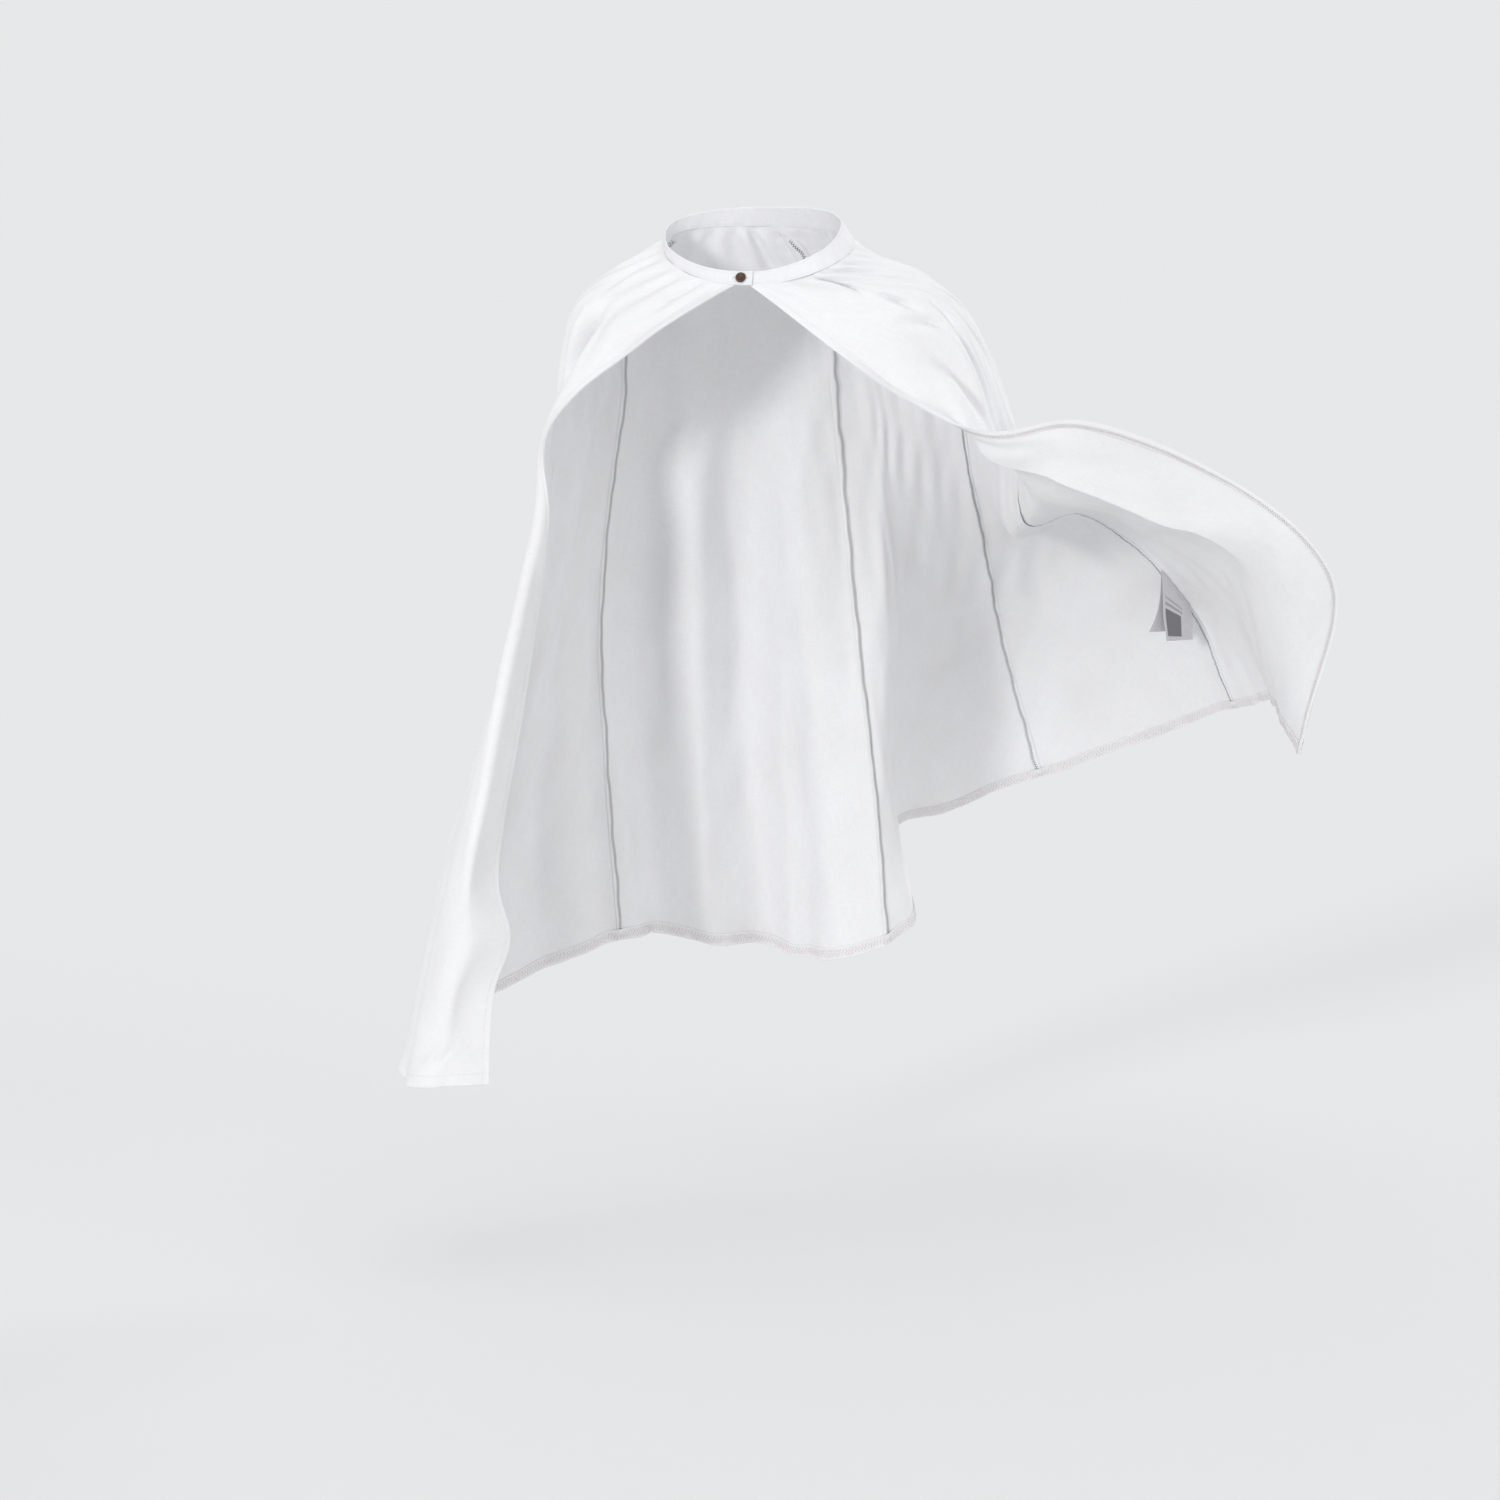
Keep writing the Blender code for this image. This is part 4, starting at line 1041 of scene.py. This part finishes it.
def makeButtonThread():  # two bars of thread over the middle, each down through a pair of holes
    data = bpy.data.curves.new("buttonThread", "CURVE")
    data.dimensions = "3D"
    data.bevel_depth = button["threadRadius"]
    data.bevel_resolution = 2
    data.use_fill_caps = True
    reach = button["holeOut"] * math.sin(math.pi / 4.0)
    top = button["dish"] + button["threadRise"]
    climb = [(-reach, 0.0), (-reach, top * 0.8), (-reach * 0.8, top)]
    route = climb + [(0.0, top * 1.05)] + [(-x, z) for x, z in reversed(climb)]
    for aside in (-reach, reach):
        for shift in (-button["threadApart"], button["threadApart"]):
            spline = data.splines.new("POLY")
            spline.points.add(len(route) - 1)
            for point, (x, z) in zip(spline.points, route):
                point.co = (x, aside + shift, z, 1.0)
    curve = linkNew("buttonThread", data)
    mesh = onCollar(finalMesh(curve), threads["brown"])
    bpy.data.objects.remove(curve, do_unlink=True)
    register(linkNew("buttonThread", mesh), "dark_wood")


makeButton()
makeButtonThread()
buttonhole = {"reach": 0.0105, "rise": 0.0011, "steps": 120}


def makeButtonhole():
    turns = np.linspace(0.0, fullTurn, buttonhole["steps"])
    ringRadius = neckRing["halfWidth"] * 0.5 + neckRing["halfDepth"] * 0.5
    angles = button["angle"] + np.cos(turns) * buttonhole["reach"] / ringRadius
    row = collarLine(angles, button["height"], np.sin(turns) * buttonhole["rise"], 1.0)
    return sew("buttonholeStitches", [row], "buttonhole", "white", "collar_canvas")


buttonholeStitches = makeButtonhole()
print("button made")

# care label: a folded strip of satin with plain bars for its print, sewn askew into the left side seam
label = {
    "thickness": 0.0006, "length": 0.112, "top": 0.705, "bottom": 0.785, "sewnThickness": 0.0010,
    "rows": 26, "columns": 12, "clear": 0.0003, "bow": 0.0035, "bowSide": 0.6, "curl": 0.006,
    "curlFrom": 0.55,
}
leaves = [  # name, node, place in front, swing sideways, swing forward, length share, bend, finish
    ("careLabel", "care_label", 0.0013, 0.003, 0.022, 1.0, 1.0, printedSatin),
    ("careLabelUnder", "care_label_under", 0.0, -0.018, 0.010, 0.88, -0.4, satin),
]


def makeLeaf(leaf):
    name, node, before, swing, forward, lengthShare, bend, finish = leaf
    drops = np.linspace(label["top"], label["bottom"], label["columns"] + 1)
    points, normals = capeAt(shareOf["leftSeam"], drops)
    seam = points - normals * (halfCloth + label["clear"] + label["sewnThickness"])
    foot = seam + np.array([0.0, -forward, 0.0])
    foot[:, 2] = seam[0, 2] - label["length"] * lengthShare
    faceOut = unit(np.cross(seam[-1] - seam[0], foot[0] - seam[0]))
    seam = seam - faceOut * before
    down = np.linspace(0.0, 1.0, label["rows"] + 1)
    across = np.linspace(0.0, 1.0, label["columns"] + 1)
    grid = seam[None] + (foot - seam)[None] * down[:, None, None]
    grid[..., 0] += swing * down[:, None] ** 3
    side = label["bowSide"] + (1.0 - label["bowSide"]) * across[None, :]
    bow = -bend * label["bow"] * np.sin(math.pi * down)[:, None] * side
    low = ramp(down, label["curlFrom"], 1.0)[:, None]
    corner = -bend * label["curl"] * low * (1.0 - across[None, :]) ** 2
    grid = grid + faceOut * (bow + corner)[..., None]
    outs = gridNormals(grid)
    width = np.linalg.norm(seam[-1] - seam[0])
    flat = np.stack(np.broadcast_arrays(across[None, :] * width, down[:, None] * label["length"]), axis=-1)
    half = label["thickness"] / 2.0
    made = shell(name, grid + outs * half, grid - outs * half, flat, finish)
    register(made, "label_satin", node)


for leaf in leaves:
    makeLeaf(leaf)
print("label made")

# the sewn pieces as sheets
for side in frontEdges:
    goreSheets["front_" + side]["with"] += [frontHems[side], edgeStitches[side], edgeThreads[side]]
goreSheets["front_right"]["with"] += [hemStitches, hemEdge]
for node, seam in zip(goreSheets, seamNames):
    goreSheets[node]["with"] += [allowances[seam], overlocks[seam]]

# camera, floor and light
camera = {"sensor": 36.0, "lens": 96.82, "eye": (-0.018, -6.0, 0.05), "target": (-0.018, 0.0, -0.737)}
studio = {
    "floorHeight": -1.53, "floorReach": 80.0, "floorRough": 0.95, "sky": (0.985, 0.99, 1.0),
    "skyStrength": 0.81,
}
suns = [  # name, direction to the light, strength, angle
    ("keyLight", (-0.52, -0.80, 0.18), 1.15, 9.0),
    ("topLight", (0.10, -0.35, 1.00), 0.25, 50.0),
    ("fillLight", (0.75, -0.60, 0.15), 0.55, 40.0),
    ("backLight", (0.72, 0.60, 0.25), 1.05, 15.0),
]


def floorColour():  # so bright that the floor meets the sky without a line
    lit = 0.0
    for _, direction, strength, _ in suns:
        lit += strength * direction[2] / Vector(direction).length / math.pi
    return [studio["skyStrength"] * c / (studio["skyStrength"] * c + lit) for c in studio["sky"]]


def makeCamera():
    data = bpy.data.cameras.new("photoCamera")
    data.sensor_width = camera["sensor"]
    data.lens = camera["lens"]
    made = linkNew("photoCamera", data)
    eye, target = Vector(camera["eye"]), Vector(camera["target"])
    made.location = eye
    made.rotation_euler = (target - eye).to_track_quat("-Z", "Y").to_euler()
    bpy.context.scene.camera = made


def makeStage():
    reach, height = studio["floorReach"], studio["floorHeight"]
    mesh = bpy.data.meshes.new("floor")
    corners = [(x * reach, y * reach, height) for x, y in ((-1, -1), (1, -1), (1, 1), (-1, 1))]
    mesh.from_pydata(corners, [], [(0, 1, 2, 3)])
    material, tree, shader = newMaterial("paleFloor")
    colour = (*floorColour(), 1.0)
    feed(tree, shader, {"Base Color": colour, "Roughness": studio["floorRough"], "Specular IOR Level": 0.0})
    mesh.materials.append(material)
    floor = linkNew("floor", mesh)
    world = bpy.data.worlds.new("studio")
    bpy.context.scene.world = world
    world.use_nodes = True
    sky = {"Color": (*studio["sky"], 1.0), "Strength": studio["skyStrength"]}
    feed(world.node_tree, world.node_tree.nodes["Background"], sky)
    for name, direction, strength, angle in suns:
        data = bpy.data.lights.new(name, "SUN")
        data.energy = strength
        data.angle = math.radians(angle)
        linkNew(name, data).rotation_euler = Vector(direction).to_track_quat("Z", "Y").to_euler()


makeCamera()
makeStage()
bpy.context.scene.view_settings.view_transform = "Standard"
print("stage made")
